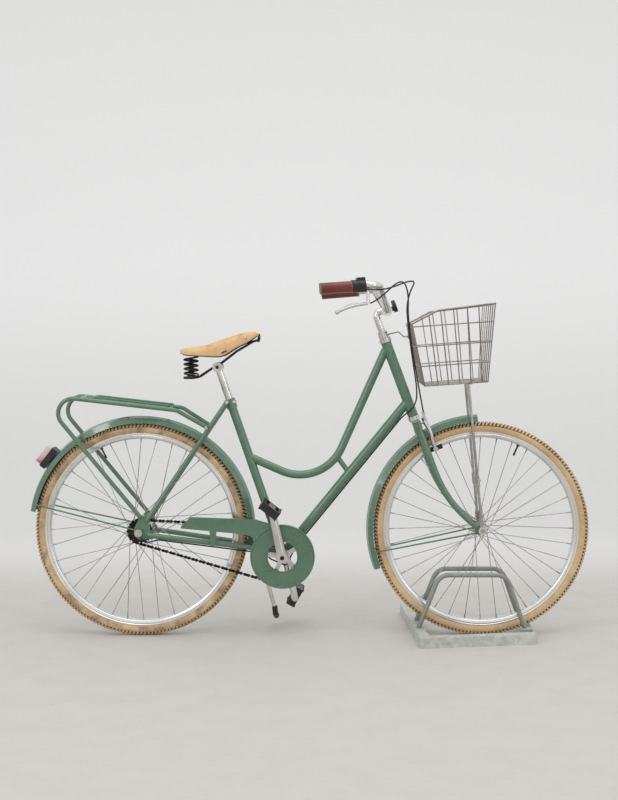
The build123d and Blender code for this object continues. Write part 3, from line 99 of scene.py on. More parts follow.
# %% A socket that can be added and multiplied
class Value:
    def __init__(self, tree, socket=None):
        self.tree = tree
        self.socket = socket

    def put(self, kind, settings=None, sockets=None, out=0):
        node = self.tree.nodes.new(kind)
        for key, value in (settings or {}).items():
            setattr(node, key, value)
        for key, value in (sockets or {}).items():
            if isinstance(value, Value):
                self.tree.links.new(value.socket, node.inputs[key])
            else:
                node.inputs[key].default_value = value
        return Value(self.tree, node.outputs[out])

    def math(self, operation, a, b=0.0):
        return self.put("ShaderNodeMath", {"operation": operation}, {0: a, 1: b})

    def __add__(self, other):
        return self.math("ADD", self, other)

    def __sub__(self, other):
        return self.math("SUBTRACT", self, other)

    def __rsub__(self, other):
        return self.math("SUBTRACT", other, self)

    def __mul__(self, other):
        return self.math("MULTIPLY", self, other)

    def step(self, low, high):
        settings = {"interpolation_type": "SMOOTHSTEP"}
        return self.put("ShaderNodeMapRange", settings, {"Value": self, "From Min": low, "From Max": high})

    def mix(self, first, second):
        sockets = {0: self, 6: first, 7: second}
        return self.put("ShaderNodeMix", {"data_type": "RGBA"}, sockets, out=2)

    def noise(self, scale, detail=3.0, rough=0.55):
        sockets = {"Vector": self, "Scale": scale, "Detail": detail, "Roughness": rough}
        return self.put("ShaderNodeTexNoise", {}, sockets)

    def cells(self, scale, out="Distance"):
        return self.put("ShaderNodeTexVoronoi", {}, {"Vector": self, "Scale": scale}, out)

    def part(self, letter):
        return self.put("ShaderNodeSeparateXYZ", {}, {0: self}, "XYZ".index(letter))

    def bump(self, distance):
        sockets = {"Height": self, "Distance": distance, "Strength": 1.0}
        return self.put("ShaderNodeBump", {}, sockets)


def srgb(red, green, blue):
    def linear(level):
        level = level / 255
        return level / 12.92 if level <= 0.04045 else ((level + 0.055) / 1.055) ** 2.4
    return (linear(red), linear(green), linear(blue), 1.0)


print("orange as light", tuple(round(v, 3) for v in srgb(255, 128, 0)))

# %% [markdown]
# ## Finishes
# Nothing on an old bicycle is one flat colour. Each finish here mixes a clean and a worn colour by
# noise in object coordinates, changes its gloss with the same noise and adds a fine bump. One helper
# serves them all, so a finish is a row of a table: two colours, gloss range, metal, bump. Black rubber
# is the plainest of them and is made first.

# %% The finish helper
COAT_ROUGHNESS = 0.07


def finish(name, clean, worn, rough, metal=0.0, coat=0.0, grain=60.0, bump=0.0002, pattern=None):
    made = bpy.data.materials.new(name)
    made.use_nodes = True
    tree = made.node_tree
    shader = tree.nodes["Principled BSDF"]
    base = Value(tree)
    place = base.put("ShaderNodeTexCoord", out="Object")
    broad = place.noise(9.0)
    fine = place.noise(grain, 5.0, 0.6)
    wear = (broad * 0.6 + fine * 0.4).step(0.38, 0.66)
    height = fine
    color = wear.mix(srgb(*clean), srgb(*worn))
    gloss = wear * (rough[1] - rough[0]) + rough[0]
    if pattern:
        color, gloss, height = pattern(place, color, gloss, height)
    links = {"Base Color": color, "Roughness": gloss, "Normal": height.bump(bump)}
    for key, value in links.items():
        tree.links.new(value.socket, shader.inputs[key])
    shader.inputs["Metallic"].default_value = metal
    shader.inputs["Coat Weight"].default_value = coat
    shader.inputs["Coat Roughness"].default_value = COAT_ROUGHNESS
    made.diffuse_color = srgb(*clean)
    return made


black_rubber = finish("black_rubber", (18, 18, 18), (31, 29, 28), (0.46, 0.70), grain=240)
print("black rubber has", len(black_rubber.node_tree.nodes), "shader nodes")

# %% [markdown]
# A few finishes need a pattern of their own: galvanised sheet has zinc spangles, leather has pores and
# darker patches where it is handled, old paint has small chips, the lamp lens turns red towards its
# lower edge, and chain steel has oily dirt. A pattern takes colour, gloss and height and hands them on.

# %% Patterns
def spangled(place, color, gloss, height):
    flake = place.cells(70.0, out="Color")
    tone = flake.part("X")
    color = (tone * 0.35).mix(color, srgb(142, 146, 140))
    rust = place.noise(26.0, 6.0).step(0.60, 0.72)
    color = (rust * 0.35).mix(color, srgb(140, 122, 100))
    return color, gloss + tone * 0.18, height + tone * 0.3


def pored(place, color, gloss, height):
    pores = place.cells(900.0)
    handled = place.noise(16.0, 4.0).step(0.52, 0.72)
    color = (handled * 0.55).mix(color, srgb(150, 104, 56))
    return color, gloss - handled * 0.1, height * 0.5 + pores


def chipped(place, color, gloss, height):
    chips = place.noise(210.0, 6.0, 0.62).step(0.715, 0.735)
    dust = place.noise(14.0, 4.0).step(0.55, 0.80)
    color = (dust * 0.14).mix(color, srgb(134, 146, 136))
    color = chips.mix(color, srgb(92, 84, 72))
    return color, gloss + dust * 0.18, height - chips * 0.8


def reddened(place, color, gloss, height):
    red = 1.0 - place.part("Z").step(0.572, 0.604)
    stripes = place.cells(260.0)
    return (red * 0.8).mix(color, srgb(150, 52, 44)), gloss, height + stripes


def oily(place, color, gloss, height):
    dirt = place.noise(120.0, 5.0).step(0.46, 0.62)
    color = dirt.mix(color, srgb(38, 33, 28))
    return color, gloss + dirt * 0.25, height


paint = finish("green_paint", (66, 104, 78), (78, 112, 90), (0.24, 0.42), coat=0.9, pattern=chipped)
print("chipped paint has", len(paint.node_tree.nodes), "shader nodes")

# %% [markdown]
# With the helper and its patterns in hand, the other finishes are one row each. The colours run from
# clean to worn, and the gloss from its smoothest to its roughest.

# %% The table of finishes
rim_metal = finish(
    "rim_metal", (226, 226, 225), (210, 209, 207), (0.20, 0.30), metal=0.9, grain=420, bump=0.00004,
)
wire_metal = finish("wire_metal", (182, 180, 176), (140, 137, 132), (0.24, 0.42), metal=1.0, grain=120)
chrome = finish("chrome", (222, 221, 219), (192, 188, 182), (0.05, 0.15), metal=1.0, grain=260, bump=0.00004)
alloy = finish("alloy", (212, 210, 207), (180, 176, 171), (0.18, 0.34), metal=1.0, grain=260, bump=0.0001)
basket_steel = finish("basket_steel", (160, 154, 147), (118, 111, 103), (0.22, 0.40), metal=1.0, grain=120)
dark_steel = finish("dark_steel", (58, 56, 54), (40, 36, 33), (0.34, 0.55), metal=0.85, pattern=oily)
worn_steel = finish("worn_steel", (118, 114, 109), (82, 77, 72), (0.30, 0.50), metal=0.9, pattern=oily)
black_plastic = finish("black_plastic", (17, 17, 18), (29, 28, 28), (0.30, 0.52), grain=200)
leather = finish(
    "leather", (214, 174, 122), (198, 158, 108), (0.34, 0.52), coat=0.12, bump=0.00025, pattern=pored,
)
grip_leather = finish(
    "grip_leather", (108, 40, 29), (84, 28, 20), (0.30, 0.48), coat=0.15, grain=160, bump=0.0004,
)
zinc = finish("zinc", (206, 209, 202), (184, 186, 178), (0.40, 0.58), metal=0.3, pattern=spangled)
zinc_tube = finish("zinc_tube", (150, 154, 149), (128, 131, 126), (0.26, 0.44), metal=0.6, pattern=spangled)
lamp_lens = finish("lamp_lens", (222, 208, 198), (206, 182, 172), (0.10, 0.20), coat=0.6, pattern=reddened)
stitching = finish("stitching", (150, 108, 72), (122, 84, 54), (0.44, 0.62), grain=160)
print("finishes", len(bpy.data.materials))

# %% [markdown]
# ## Dressing the nodes
# Most nodes keep their own shape and only take a finish. The record says which finish slot each node
# has, so one table from slot to finish dresses them all. The tyres' entry is never seen, because finer
# tyres take their place below. The floor stand's bent tubes are duller than its sheet base.

# %% Finish by slot
SLOT_FINISH = {
    "frame_paint": paint, "tyre_tan": black_rubber, "rim_silver": rim_metal, "bright_steel": wire_metal,
    "chrome": chrome, "alloy": alloy, "dark_steel": dark_steel, "black_plastic": black_plastic,
    "black_rubber": black_rubber, "lens": lamp_lens, "saddle_leather": leather,
    "grip_brown": grip_leather, "galvanised": zinc,
}
node_slot = {row["node"]: row["material_slot"] for row in frame["record"]["subparts"]}
for node_name, node in frame["nodes"].items():
    node.data.materials.clear()
    node.data.materials.append(SLOT_FINISH[node_slot[node_name]])
for node_name, surface in (("stand_hoops", zinc_tube), ("stand_base", zinc)):
    frame["nodes"][node_name].data.materials[0] = surface
print("dressed", len(node_slot), "nodes")

# %% [markdown]
# ## Two ways to add a piece
# A turned, pressed or cut piece is a mesh made with bmesh operators. A bent wire is a curve with a
# round bevel, which stays smooth along any route. Both ride on a body of the model, and may stand
# in for a plainer node.

# %% Adding pieces
def enter(name, data, body, surface, stands_for=()):
    thing = bpy.data.objects.new(name, data)
    bpy.context.scene.collection.objects.link(thing)
    data.materials.append(surface)
    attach(thing, body)
    if stands_for:
        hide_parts(*stands_for)
    return thing


def solid(name, shape, body, surface, stands_for=(), crease=35.0):
    bmesh.ops.recalc_face_normals(shape, faces=shape.faces)
    for face in shape.faces:
        face.smooth = True
    mesh = bpy.data.meshes.new(name)
    shape.to_mesh(mesh)
    shape.free()
    mesh.set_sharp_from_angle(angle=math.radians(crease))
    print(name, len(mesh.polygons), "faces")
    return enter(name, mesh, body, surface, stands_for)


def wires(name, routes, radius, body, surface, stands_for=(), slot=None, kind="POLY", ring=2):
    curve = bpy.data.curves.new(name, "CURVE")
    curve.dimensions = "3D"
    curve.bevel_depth = radius * MM
    curve.bevel_resolution = ring
    curve.use_fill_caps = True
    curve.resolution_u = 12
    for route in routes:
        line = curve.splines.new(kind)
        line.points.add(len(route) - 1)
        for point, place in zip(line.points, route):
            point.co = (*place, 1.0)
        line.use_smooth = True
        if kind == "NURBS":
            line.order_u = 3
            line.use_endpoint_u = True
    print(name, len(routes), "wires")
    return enter(name, curve, body, surface, stands_for)


print("objects before dressing", len(bpy.context.scene.collection.all_objects))

# %% [markdown]
# ## Tyres
# A tyre is a tube of rubber with its ends tucked into the rim. Its section is drawn once on one side of
# the wheel and spun round the axle, which is how a lathe would see it. The rear tyre stands in more dirt
# than the front one, so the rubber of each gets its own soil. The crown band under the tread is painted
# dark brown, as painted shade in the grooves between the blocks.

# %% Tyre carcass
TYRE_SECTION = [
    (303, -10), (310, -12.2), (318.5, -13), (321, -15), (326, -18.2), (332, -19.6), (339, -18.4), (344, -14.6),
    (347, -10), (347.6, -5), (347.8, 0), (347.6, 5), (347, 10), (344, 14.6), (339, 18.4), (332, 19.6),
    (326, 18.2), (321, 15), (318.5, 13), (310, 12.2), (303, 10),
]
WHEEL_STEPS = 160
WHEELS = {
    "rear": {"centre": at(0, 0, AXLE_Z), "flange_r": 38.0, "flange_y": 31.0, "dirt": 0.75},
    "front": {"centre": at(WHEELBASE, 0, AXLE_Z), "flange_r": 20.0, "flange_y": 33.0, "dirt": 0.12},
}
# Where the painted groove shade on the tyre crown begins and ends, in metres from the axle.
GROOVE_SHADE_FROM = 0.3375
GROOVE_SHADE_TO = 0.3395


def lathe(shape, section, centre, steps):
    points = [shape.verts.new(centre + Vector((r * MM, y * MM, 0))) for r, y in section]
    lines = [shape.edges.new(pair) for pair in zip(points, points[1:] + points[:1])]
    bmesh.ops.spin(
        shape, geom=points + lines, cent=centre, axis=(0, 1, 0),
        angle=math.tau, steps=steps, use_merge=True,
    )


def soil_and_groove_shade(centre, dirt):
    def pattern(place, color, gloss, height):
        across = place.part("X") - centre.x
        up = place.part("Z") - centre.z
        radius = place.math("SQRT", across * across + up * up)
        # Painted shade: the crown band out past the tread blocks' roots turns dark brown, standing in for
        # shade in the grooves.
        color = radius.step(GROOVE_SHADE_FROM, GROOVE_SHADE_TO).mix(color, srgb(84, 66, 48))
        soil = place.noise(24.0, 6.0, 0.62).step(0.36, 0.68)
        return (soil * dirt).mix(color, srgb(116, 98, 80)), gloss, height
    return pattern


for end, wheel in WHEELS.items():
    name = end + "_tyre"
    rubber = finish(
        name + "_rubber", (206, 176, 134), (188, 156, 114), (0.62, 0.82), grain=140, bump=0.0004,
        pattern=soil_and_groove_shade(wheel["centre"], wheel["dirt"]),
    )
    carcass = bmesh.new()
    lathe(carcass, TYRE_SECTION, wheel["centre"], WHEEL_STEPS)
    solid(name, carcass, end + "_wheel", rubber, (name,))

# %% [markdown]
# The tread is rows of small blocks laid round the crown, so the outline of the wheel is notched as on the
# real tyre. One row runs round the middle, one at each side of it, and long slanted blocks at the
# shoulders. A block is a cube, set on the wheel by a matrix and leaned to follow the crown.

# %% Tread
TYRE_R = 351.0
BLOCKS_ROUND = 178
TREAD_ROWS = (
    {"size": (5.0, 9.0, 7.0), "down": 2.7, "out": 0.0, "lean": 0, "slant": 0, "sides": (1,)},
    {"size": (4.6, 6.4, 6.4), "down": 3.6, "out": 7.6, "lean": 20, "slant": 0, "sides": (-1, 1)},
    {"size": (11.5, 3.4, 5.8), "down": 6.8, "out": 15.6, "lean": 40, "slant": 24, "sides": (-1, 1)},
)


def turned(degrees, axis):
    return Matrix.Rotation(math.radians(degrees), 4, axis)


def block(shape, size, place):
    scaled = place @ Matrix.Diagonal((*[side * MM for side in size], 1))
    bmesh.ops.create_cube(shape, size=1.0, matrix=scaled)


def round_wheel(centre, degrees, radius, y):
    return Matrix.Translation(centre) @ turned(-degrees, "Y") @ Matrix.Translation((radius * MM, y * MM, 0))


for end, wheel in WHEELS.items():
    name = end + "_tyre"
    knobs = finish(name + "_knobs", (202, 174, 134), (164, 138, 106), (0.66, 0.86), grain=180, bump=0.0004)
    tread = bmesh.new()
    for index in range(BLOCKS_ROUND):
        for row, side in [(row, side) for row in TREAD_ROWS for side in row["sides"]]:
            degrees = 360 * index / BLOCKS_ROUND
            place = round_wheel(wheel["centre"], degrees, TYRE_R - row["down"], side * row["out"])
            block(tread, row["size"], place @ turned(-side * row["lean"], "Z") @ turned(row["slant"], "Y"))
    solid(name + "_tread", tread, end + "_wheel", knobs)

# %% [markdown]
# ## Rims
# The rim is rolled from one strip: a hooked channel that holds the tyre, with a rounded inner wall for
# the nipples. It is spun like the tyre, with more points where the strip bends.

# %% Rims
RIM_SECTION = [
    (319.5, -13.4), (317, -12.2), (311, -11.6), (308, -9), (307, 0), (308, 9), (311, 11.6), (317, 12.2),
    (319.5, 13.4), (319, 14.8), (316, 15), (314.6, 13.8), (312.4, 13.8), (311, 14.8), (305, 14), (301.6, 11),
    (299.6, 6), (299, 0), (299.6, -6), (301.6, -11), (305, -14), (311, -14.8), (312.4, -13.8), (314.6, -13.8),
    (316, -15), (319, -14.8),
]
for end, wheel in WHEELS.items():
    rim = bmesh.new()
    lathe(rim, RIM_SECTION, wheel["centre"], WHEEL_STEPS)
    solid(end + "_rim", rim, end + "_wheel", rim_metal, (end + "_rim",))

# %% [markdown]
# ## Laced spokes
# Each wheel has 36 spokes, 18 a side. Every second one leans forward and the others back, and each
# leading spoke crosses outside the trailing ones: that lace is what carries the torque. Each spoke is
# a round wire from the hub flange to the rim, with a slightly tapered nipple at the rim end.

# %% Spokes and nipples
SPOKES_A_SIDE = 18
LACE_TURN = 60.0
SPOKE_R = 1.2
RIM_END_R = 299.2
RIM_END_Y = 2.5
HOLE_IN = 2.0
LEADING_OUT = 6.0
TRAILING_OUT = -1.5
NIPPLE_R = 2.3
NIPPLE_TIP_R = 1.8
NIPPLE_LONG = 13.0


def bar(shape, start, stop, radius, sides=10, tip=None):
    way = stop - start
    turn = way.to_track_quat("Z", "Y").to_matrix().to_4x4()
    place = Matrix.Translation((start + stop) / 2) @ turn
    bmesh.ops.create_cone(
        shape, cap_ends=True, segments=sides, radius1=radius * MM,
        radius2=(radius if tip is None else tip) * MM, depth=way.length, matrix=place,
    )


def on_wheel(centre, radius, degrees, y):
    turn = math.radians(degrees)
    return centre + Vector((radius * math.cos(turn), y, radius * math.sin(turn))) * MM


for end, wheel in WHEELS.items():
    routes = []
    nipples = bmesh.new()
    for side in (-1, 1):
        for index in range(SPOKES_A_SIDE):
            leads = index % 2 == 0
            hub_at = 360 * index / SPOKES_A_SIDE + (180 / SPOKES_A_SIDE if side > 0 else 0)
            rim_at = hub_at + (LACE_TURN if leads else -LACE_TURN)
            hub_y = wheel["flange_y"] + (LEADING_OUT if leads else TRAILING_OUT)
            hub = on_wheel(wheel["centre"], wheel["flange_r"] - HOLE_IN, hub_at, side * hub_y)
            rim = on_wheel(wheel["centre"], RIM_END_R, rim_at, side * RIM_END_Y)
            inside = (hub - rim).normalized() * NIPPLE_LONG * MM
            routes.append([hub, rim])
            bar(nipples, rim + inside, rim, NIPPLE_TIP_R, 8, NIPPLE_R)
    wires(end + "_spokes", routes, SPOKE_R, end + "_wheel", wire_metal, (end + "_spokes",), "bright_steel")
    solid(end + "_nipples", nipples, end + "_wheel", wire_metal)

# %% [markdown]
# ## Valves
# A short black valve stands on the inside of each rim, where the pump goes on. A stepped bar is enough:
# a stem, a collar and a cap, made as three cones along one spoke-wise line.

# %% Valves
VALVE_TURN = {"rear": 116.0, "front": 66.0}
VALVE_STEPS = ((300, 272, 3.0), (300, 294, 5.0), (272, 262, 3.6))
for end, degrees in VALVE_TURN.items():
    centre = WHEELS[end]["centre"]
    valve = bmesh.new()
    for outer, inner, radius in VALVE_STEPS:
        bar(valve, on_wheel(centre, outer, degrees, 0), on_wheel(centre, inner, degrees, 0), radius, 12)
    solid(end + "_valve", valve, end + "_wheel", black_rubber)

# %% [markdown]
# ## Leather saddle
# The saddle top is one thick hide, shaped wet over a form: broad at the rear, a long nose, and skirts
# that hang down at the sides. Three lines describe it, as on a maker's pattern: the top and the lower
# edge seen from the side, and the half width seen from above. Any place is found between their points.

# %% Saddle lines
SADDLE_TOP = [
    (136, 936), (142, 944), (152, 949), (177, 951), (210, 955), (246, 966), (283, 979), (320, 991), (357, 999),
    (376, 1000.5), (386, 997), (391, 991),
]
SADDLE_UNDER = [
    (141, 929.5), (166, 924), (210, 921.8), (253, 918.1), (268, 918.8), (282, 922.5), (297, 933), (322, 949.5),
    (354, 963), (376, 979), (388, 987),
]
SADDLE_PLAN = [
    (132, 44), (138, 64), (152, 78), (172, 84), (205, 74), (245, 52), (283, 36), (330, 27), (374, 21),
    (391, 10),
]


def lerp(start, stop, share):
    return start + (stop - start) * share


def along_line(line, x):
    for (x0, v0), (x1, v1) in zip(line, line[1:]):
        if x0 <= x <= x1:
            return lerp(v0, v1, (x - x0) / (x1 - x0))
    return line[0][1] if x < line[0][0] else line[-1][1]


print("saddle is", round(2 * max(half for x, half in SADDLE_PLAN)), "mm wide")

# %% [markdown]
# Cross sections are set up along the length, each a ring of points that runs over the top and back
# under the hide, and bridged into one shell. The powers below one make the crown flatter and the skirts
# steeper than a plain arch. A subdivision rounds the whole.

# %% Saddle top
HIDE = 4.5
SECTION_STATIONS = (137, 141, 150, 166, 186, 208, 230, 250, 266, 280, 294, 310, 328, 346, 364, 378, 386, 390)
CROWN_STEPS = 12
WIDTH_POWER = 0.72
RISE_POWER = 0.62


def hide_ring(shape, x):
    top = along_line(SADDLE_TOP, x)
    under = along_line(SADDLE_UNDER, x)
    half = along_line(SADDLE_PLAN, x)
    hang = max(top - under, 2 * HIDE)

    def arch(half_width, crown, foot):
        ring = []
        for step in range(CROWN_STEPS + 1):
            turn = math.pi * step / CROWN_STEPS
            share = math.copysign(abs(math.cos(turn)) ** WIDTH_POWER, math.cos(turn))
            rise = math.sin(turn) ** RISE_POWER
            ring.append((half_width * share, lerp(foot, crown, rise)))
        return ring

    outer = arch(half, top, top - hang)
    inner = arch(half - HIDE, top - HIDE, top - hang)
    points = outer + list(reversed(inner))
    verts = [shape.verts.new(at(x, y, z)) for y, z in points]
    return [shape.edges.new((verts[i], verts[(i + 1) % len(verts)])) for i in range(len(verts))]


hide = bmesh.new()
rings = [hide_ring(hide, x) for x in SECTION_STATIONS]
for ring, following in zip(rings, rings[1:]):
    bmesh.ops.bridge_loops(hide, edges=ring + following)
for ring in (rings[0], rings[-1]):
    bmesh.ops.contextual_create(hide, geom=ring)
saddle = solid("saddle_top", hide, "frame", leather, ("saddle_cover",), crease=80)
rounding = saddle.modifiers.new("rounding", "SUBSURF")
rounding.levels = rounding.render_levels = 2

# %% [markdown]
# Bright rivets hold the hide to the steel frame: a row round the cantle at the rear and one on each side
# of the nose. Each is a small ball half sunk into the leather.

# %% Saddle rivets
RIVET_R = 4.2
RIVETS = [(140, 20, 941), (143, 46, 939), (152, 64, 937), (349, 24, 980)]


def ball(shape, centre, radius, around, over):
    bmesh.ops.create_uvsphere(
        shape, u_segments=around, v_segments=over, radius=radius * MM, matrix=Matrix.Translation(centre),
    )


rivets = bmesh.new()
for side in (-1, 1):
    for x, y, z in RIVETS:
        ball(rivets, at(x, side * y, z), RIVET_R, 16, 8)
solid("saddle_rivets", rivets, "frame", alloy)

# %% [markdown]
# ## Saddle springs
# Two black coil springs carry the rear of the saddle. A helix is a circle that climbs, so its points
# come from one turn angle, and the curve's bevel gives the wire.

# %% Springs
SPRING_TURNS = 4
SPRING_LOW = 856.0
SPRING_TOP = 921.0
SPRING_WIRE = 3.0
SPRING_X = 168.0
SPRING_Y = 46.0
COIL_R = 17.0
TURN_STEPS = 20
coils = []
for side in (-1, 1):
    total = SPRING_TURNS * TURN_STEPS
    route = []
    for step in range(total + 1):
        turn = math.tau * step / TURN_STEPS
        height = lerp(SPRING_LOW + SPRING_WIRE, SPRING_TOP - SPRING_WIRE, step / total)
        out = SPRING_Y + COIL_R * math.sin(turn)
        route.append(at(SPRING_X + COIL_R * math.cos(turn), side * out, height))
    coils.append(route)
wires("saddle_coils", coils, SPRING_WIRE, "frame", dark_steel, ("saddle_springs",), "dark_steel", ring=3)

# %% [markdown]
# The hide is laced low on the skirt, and a dark wire runs along the lower edge of the skirt. A black hook
# under the nose, with its tension bolt, pulls it tight, and two bright cheeks clamp the rails to the seat
# post.

# %% Saddle fittings
EDGE_IN = 2.5
EDGE_R = 1.7
EDGE_FROM, EDGE_TO = 150, 386
LACE = [(272, 41, 931), (287, 35, 938)]
LACE_R = 2.2
NOSE_HOOK = [(389, 0, 992), (392, 0, 982), (388, 0, 966)]
TENSION_BOLT = [(352, 0, 962), (389, 0, 972)]
HOOK_R = 4.6
TENSION_R = 4.0
CLAMP = (256.3, 885.0)
CLAMP_BOLT_Y = 38
CLAMP_BOLT_R = 6.0
CLAMP_RINGS = ((13, 31, 16.4), (31, 34, 12.0))


def across_clamp(shape, start, stop, radius, sides):
    bar(shape, at(CLAMP[0], start, CLAMP[1]), at(CLAMP[0], stop, CLAMP[1]), radius, sides)


edges = []
stations = [x for x in SECTION_STATIONS if EDGE_FROM <= x <= EDGE_TO]
for side in (-1, 1):
    skirt = [(x, along_line(SADDLE_PLAN, x) - EDGE_IN, along_line(SADDLE_UNDER, x)) for x in stations]
    edges.append([at(x, side * y, z) for x, y, z in skirt])
wires("saddle_edge", edges, EDGE_R, "frame", black_rubber, slot="black_rubber", kind="NURBS")
laces = [[at(x, side * y, z) for x, y, z in LACE] for side in (-1, 1)]
wires("saddle_laces", laces, LACE_R, "frame", black_rubber, slot="black_rubber")
fittings = bmesh.new()
for start, stop in zip(NOSE_HOOK, NOSE_HOOK[1:]):
    bar(fittings, at(*start), at(*stop), HOOK_R, 12)
bar(fittings, at(*TENSION_BOLT[0]), at(*TENSION_BOLT[1]), TENSION_R, 6)
across_clamp(fittings, -CLAMP_BOLT_Y, CLAMP_BOLT_Y, CLAMP_BOLT_R, 6)
solid("saddle_fittings", fittings, "frame", dark_steel)
cheeks = bmesh.new()
for side in (-1, 1):
    for inner, outer, radius in CLAMP_RINGS:
        across_clamp(cheeks, side * inner, side * outer, radius, 32)
solid("saddle_clamp_cheeks", cheeks, "frame", alloy)

# %% [markdown]
# ## Wire basket
# The basket is welded from round wire: upright wires down each side and under the floor, level wires
# round it, and a thicker wire along the top edge. Its sides lean outwards and the whole is tilted, so one
# function turns a share of the length and a height into a place on a side, and every wire uses it.

# %% Basket slopes
BASKET_LOW = 831.0
BASKET_TOP_REAR = 1030.0
BASKET_TOP_FRONT = 1075.0
BASKET_KINK = (WHEELBASE - 154.0, 1066.0)
BASKET_MID = WHEELBASE - 93.0
BASKET_TILT = 0.065
REAR_FOOT = WHEELBASE - 191.0
REAR_SLOPE = -0.211
FRONT_FOOT = WHEELBASE + 7.0
FRONT_SLOPE = 0.075
HALF_FOOT = 130.0
HALF_SLOPE = 0.152


def basket_x(share, z):
    height = z - BASKET_LOW
    return lerp(REAR_FOOT + REAR_SLOPE * height, FRONT_FOOT + FRONT_SLOPE * height, share)


def basket_half(z):
    return HALF_FOOT + HALF_SLOPE * (z - BASKET_LOW)


def edge_height(share):
    x = basket_x(share, BASKET_TOP_FRONT)
    start = (basket_x(0, BASKET_TOP_FRONT), BASKET_TOP_REAR)
    stop = (basket_x(1, BASKET_TOP_FRONT), BASKET_TOP_FRONT)
    return along_line([start, BASKET_KINK, stop], x)


def side_place(side, share, z):
    x = basket_x(share, z)
    return at(x, side * basket_half(z), z + BASKET_TILT * (x - BASKET_MID))


print("basket is", round(2 * basket_half(BASKET_TOP_FRONT)), "mm wide at its top")

# %% [markdown]
# The uprights stand at uneven shares of the length, given apart for the bottom and the top edge because
# they fan out. The wires of the two ends and of the floor follow by loops, and all the thin ones share one
# curve object.

# %% Basket wires
LEVELS = (831.0, 894.0, 957.0, 1020.0)
LOW_SHARES = (0, 0.211, 0.378, 0.556, 0.734, 0.911, 1)
TOP_SHARES = (0, 0.218, 0.361, 0.513, 0.673, 0.808, 1)
END_WIRES = 6
THIN_R = 1.9
EDGE_WIRE_R = 3.0
thin = []
edge = []
for side in (-1, 1):
    for low_share, top_share in zip(LOW_SHARES, TOP_SHARES):
        head = side_place(side, top_share, edge_height(top_share))
        thin.append([side_place(side, low_share, BASKET_LOW), head])
    for level in LEVELS:
        thin.append([side_place(side, 0, level), side_place(side, 1, level)])
    span = basket_x(1, BASKET_TOP_FRONT) - basket_x(0, BASKET_TOP_FRONT)
    kink = (BASKET_KINK[0] - basket_x(0, BASKET_TOP_FRONT)) / span
    edge.append([side_place(side, share, edge_height(share)) for share in (0, kink, 1)])
for share, top in ((0, BASKET_TOP_REAR), (1, BASKET_TOP_FRONT)):
    for index in range(1, END_WIRES):
        spread = 2 * index / END_WIRES - 1
        thin.append([side_place(spread, share, BASKET_LOW), side_place(spread, share, top)])
    for level in LEVELS:
        thin.append([side_place(-1, share, level), side_place(1, share, level)])
    edge.append([side_place(-1, share, top), side_place(1, share, top)])
for share in LOW_SHARES[1:-1]:
    thin.append([side_place(side, share, BASKET_LOW) for side in (-1, 1)])
for index in range(1, END_WIRES):
    spread = 2 * index / END_WIRES - 1
    thin.append([side_place(spread, share, BASKET_LOW) for share in (0, 1)])
wires("basket_wires", thin, THIN_R, "front_end", basket_steel, ("basket",), "bright_steel")
wires("basket_edge", edge, EDGE_WIRE_R, "front_end", basket_steel, slot="bright_steel")

# %% [markdown]
# ## Chain
# A roller chain is one link over and over: narrow and wide pairs of side plates in turn, with a roller on
# every pin. The pins lie a fixed pitch apart on a loop of two straight runs and two arcs, so a function
# gives the place of a pin from its distance round the loop.

# %% Chain loop
CHAIN_PITCH = 12.7
CRANK_X = 465.0
CRANK_Z = 270.0
RING_TEETH = 46
COG_TEETH = 19
RING_R = CHAIN_PITCH / (2 * math.sin(math.pi / RING_TEETH))
COG_R = CHAIN_PITCH / (2 * math.sin(math.pi / COG_TEETH))
SPAN = math.hypot(CRANK_X, CRANK_Z - AXLE_Z)
RISE = math.atan2(CRANK_Z - AXLE_Z, CRANK_X)
LEAN = math.acos((COG_R - RING_R) / SPAN)
RUN = math.sqrt(SPAN ** 2 - (RING_R - COG_R) ** 2)
RING_ARC = RING_R * 2 * LEAN
COG_ARC = COG_R * (math.tau - 2 * LEAN)
LOOP = 2 * RUN + RING_ARC + COG_ARC
LINKS = 2 * round(LOOP / CHAIN_PITCH / 2)


def round_gear(x, z, radius, turn):
    return Vector((x + radius * math.cos(turn), z + radius * math.sin(turn)))


def pin_place(distance):
    distance = distance % LOOP
    cog, ring = (0.0, AXLE_Z, COG_R), (CRANK_X, CRANK_Z, RING_R)
    for turn, start, stop, arc in ((RISE + LEAN, cog, ring, RING_ARC), (RISE - LEAN, ring, cog, COG_ARC)):
        if distance < RUN:
            return round_gear(*start, turn).lerp(round_gear(*stop, turn), distance / RUN)
        distance -= RUN
        if distance < arc:
            return round_gear(*stop, turn - distance / stop[2])
        distance -= arc
    return round_gear(*cog, RISE + LEAN)


print("chain of", LINKS, "links round a loop of", round(LOOP), "mm")

# %% [markdown]
# Rollers are put in on the straight runs only, a few links clear of the arcs, because the teeth of the ring
# and the cog stand where the others would be. A side plate is two discs joined by a narrower waist.

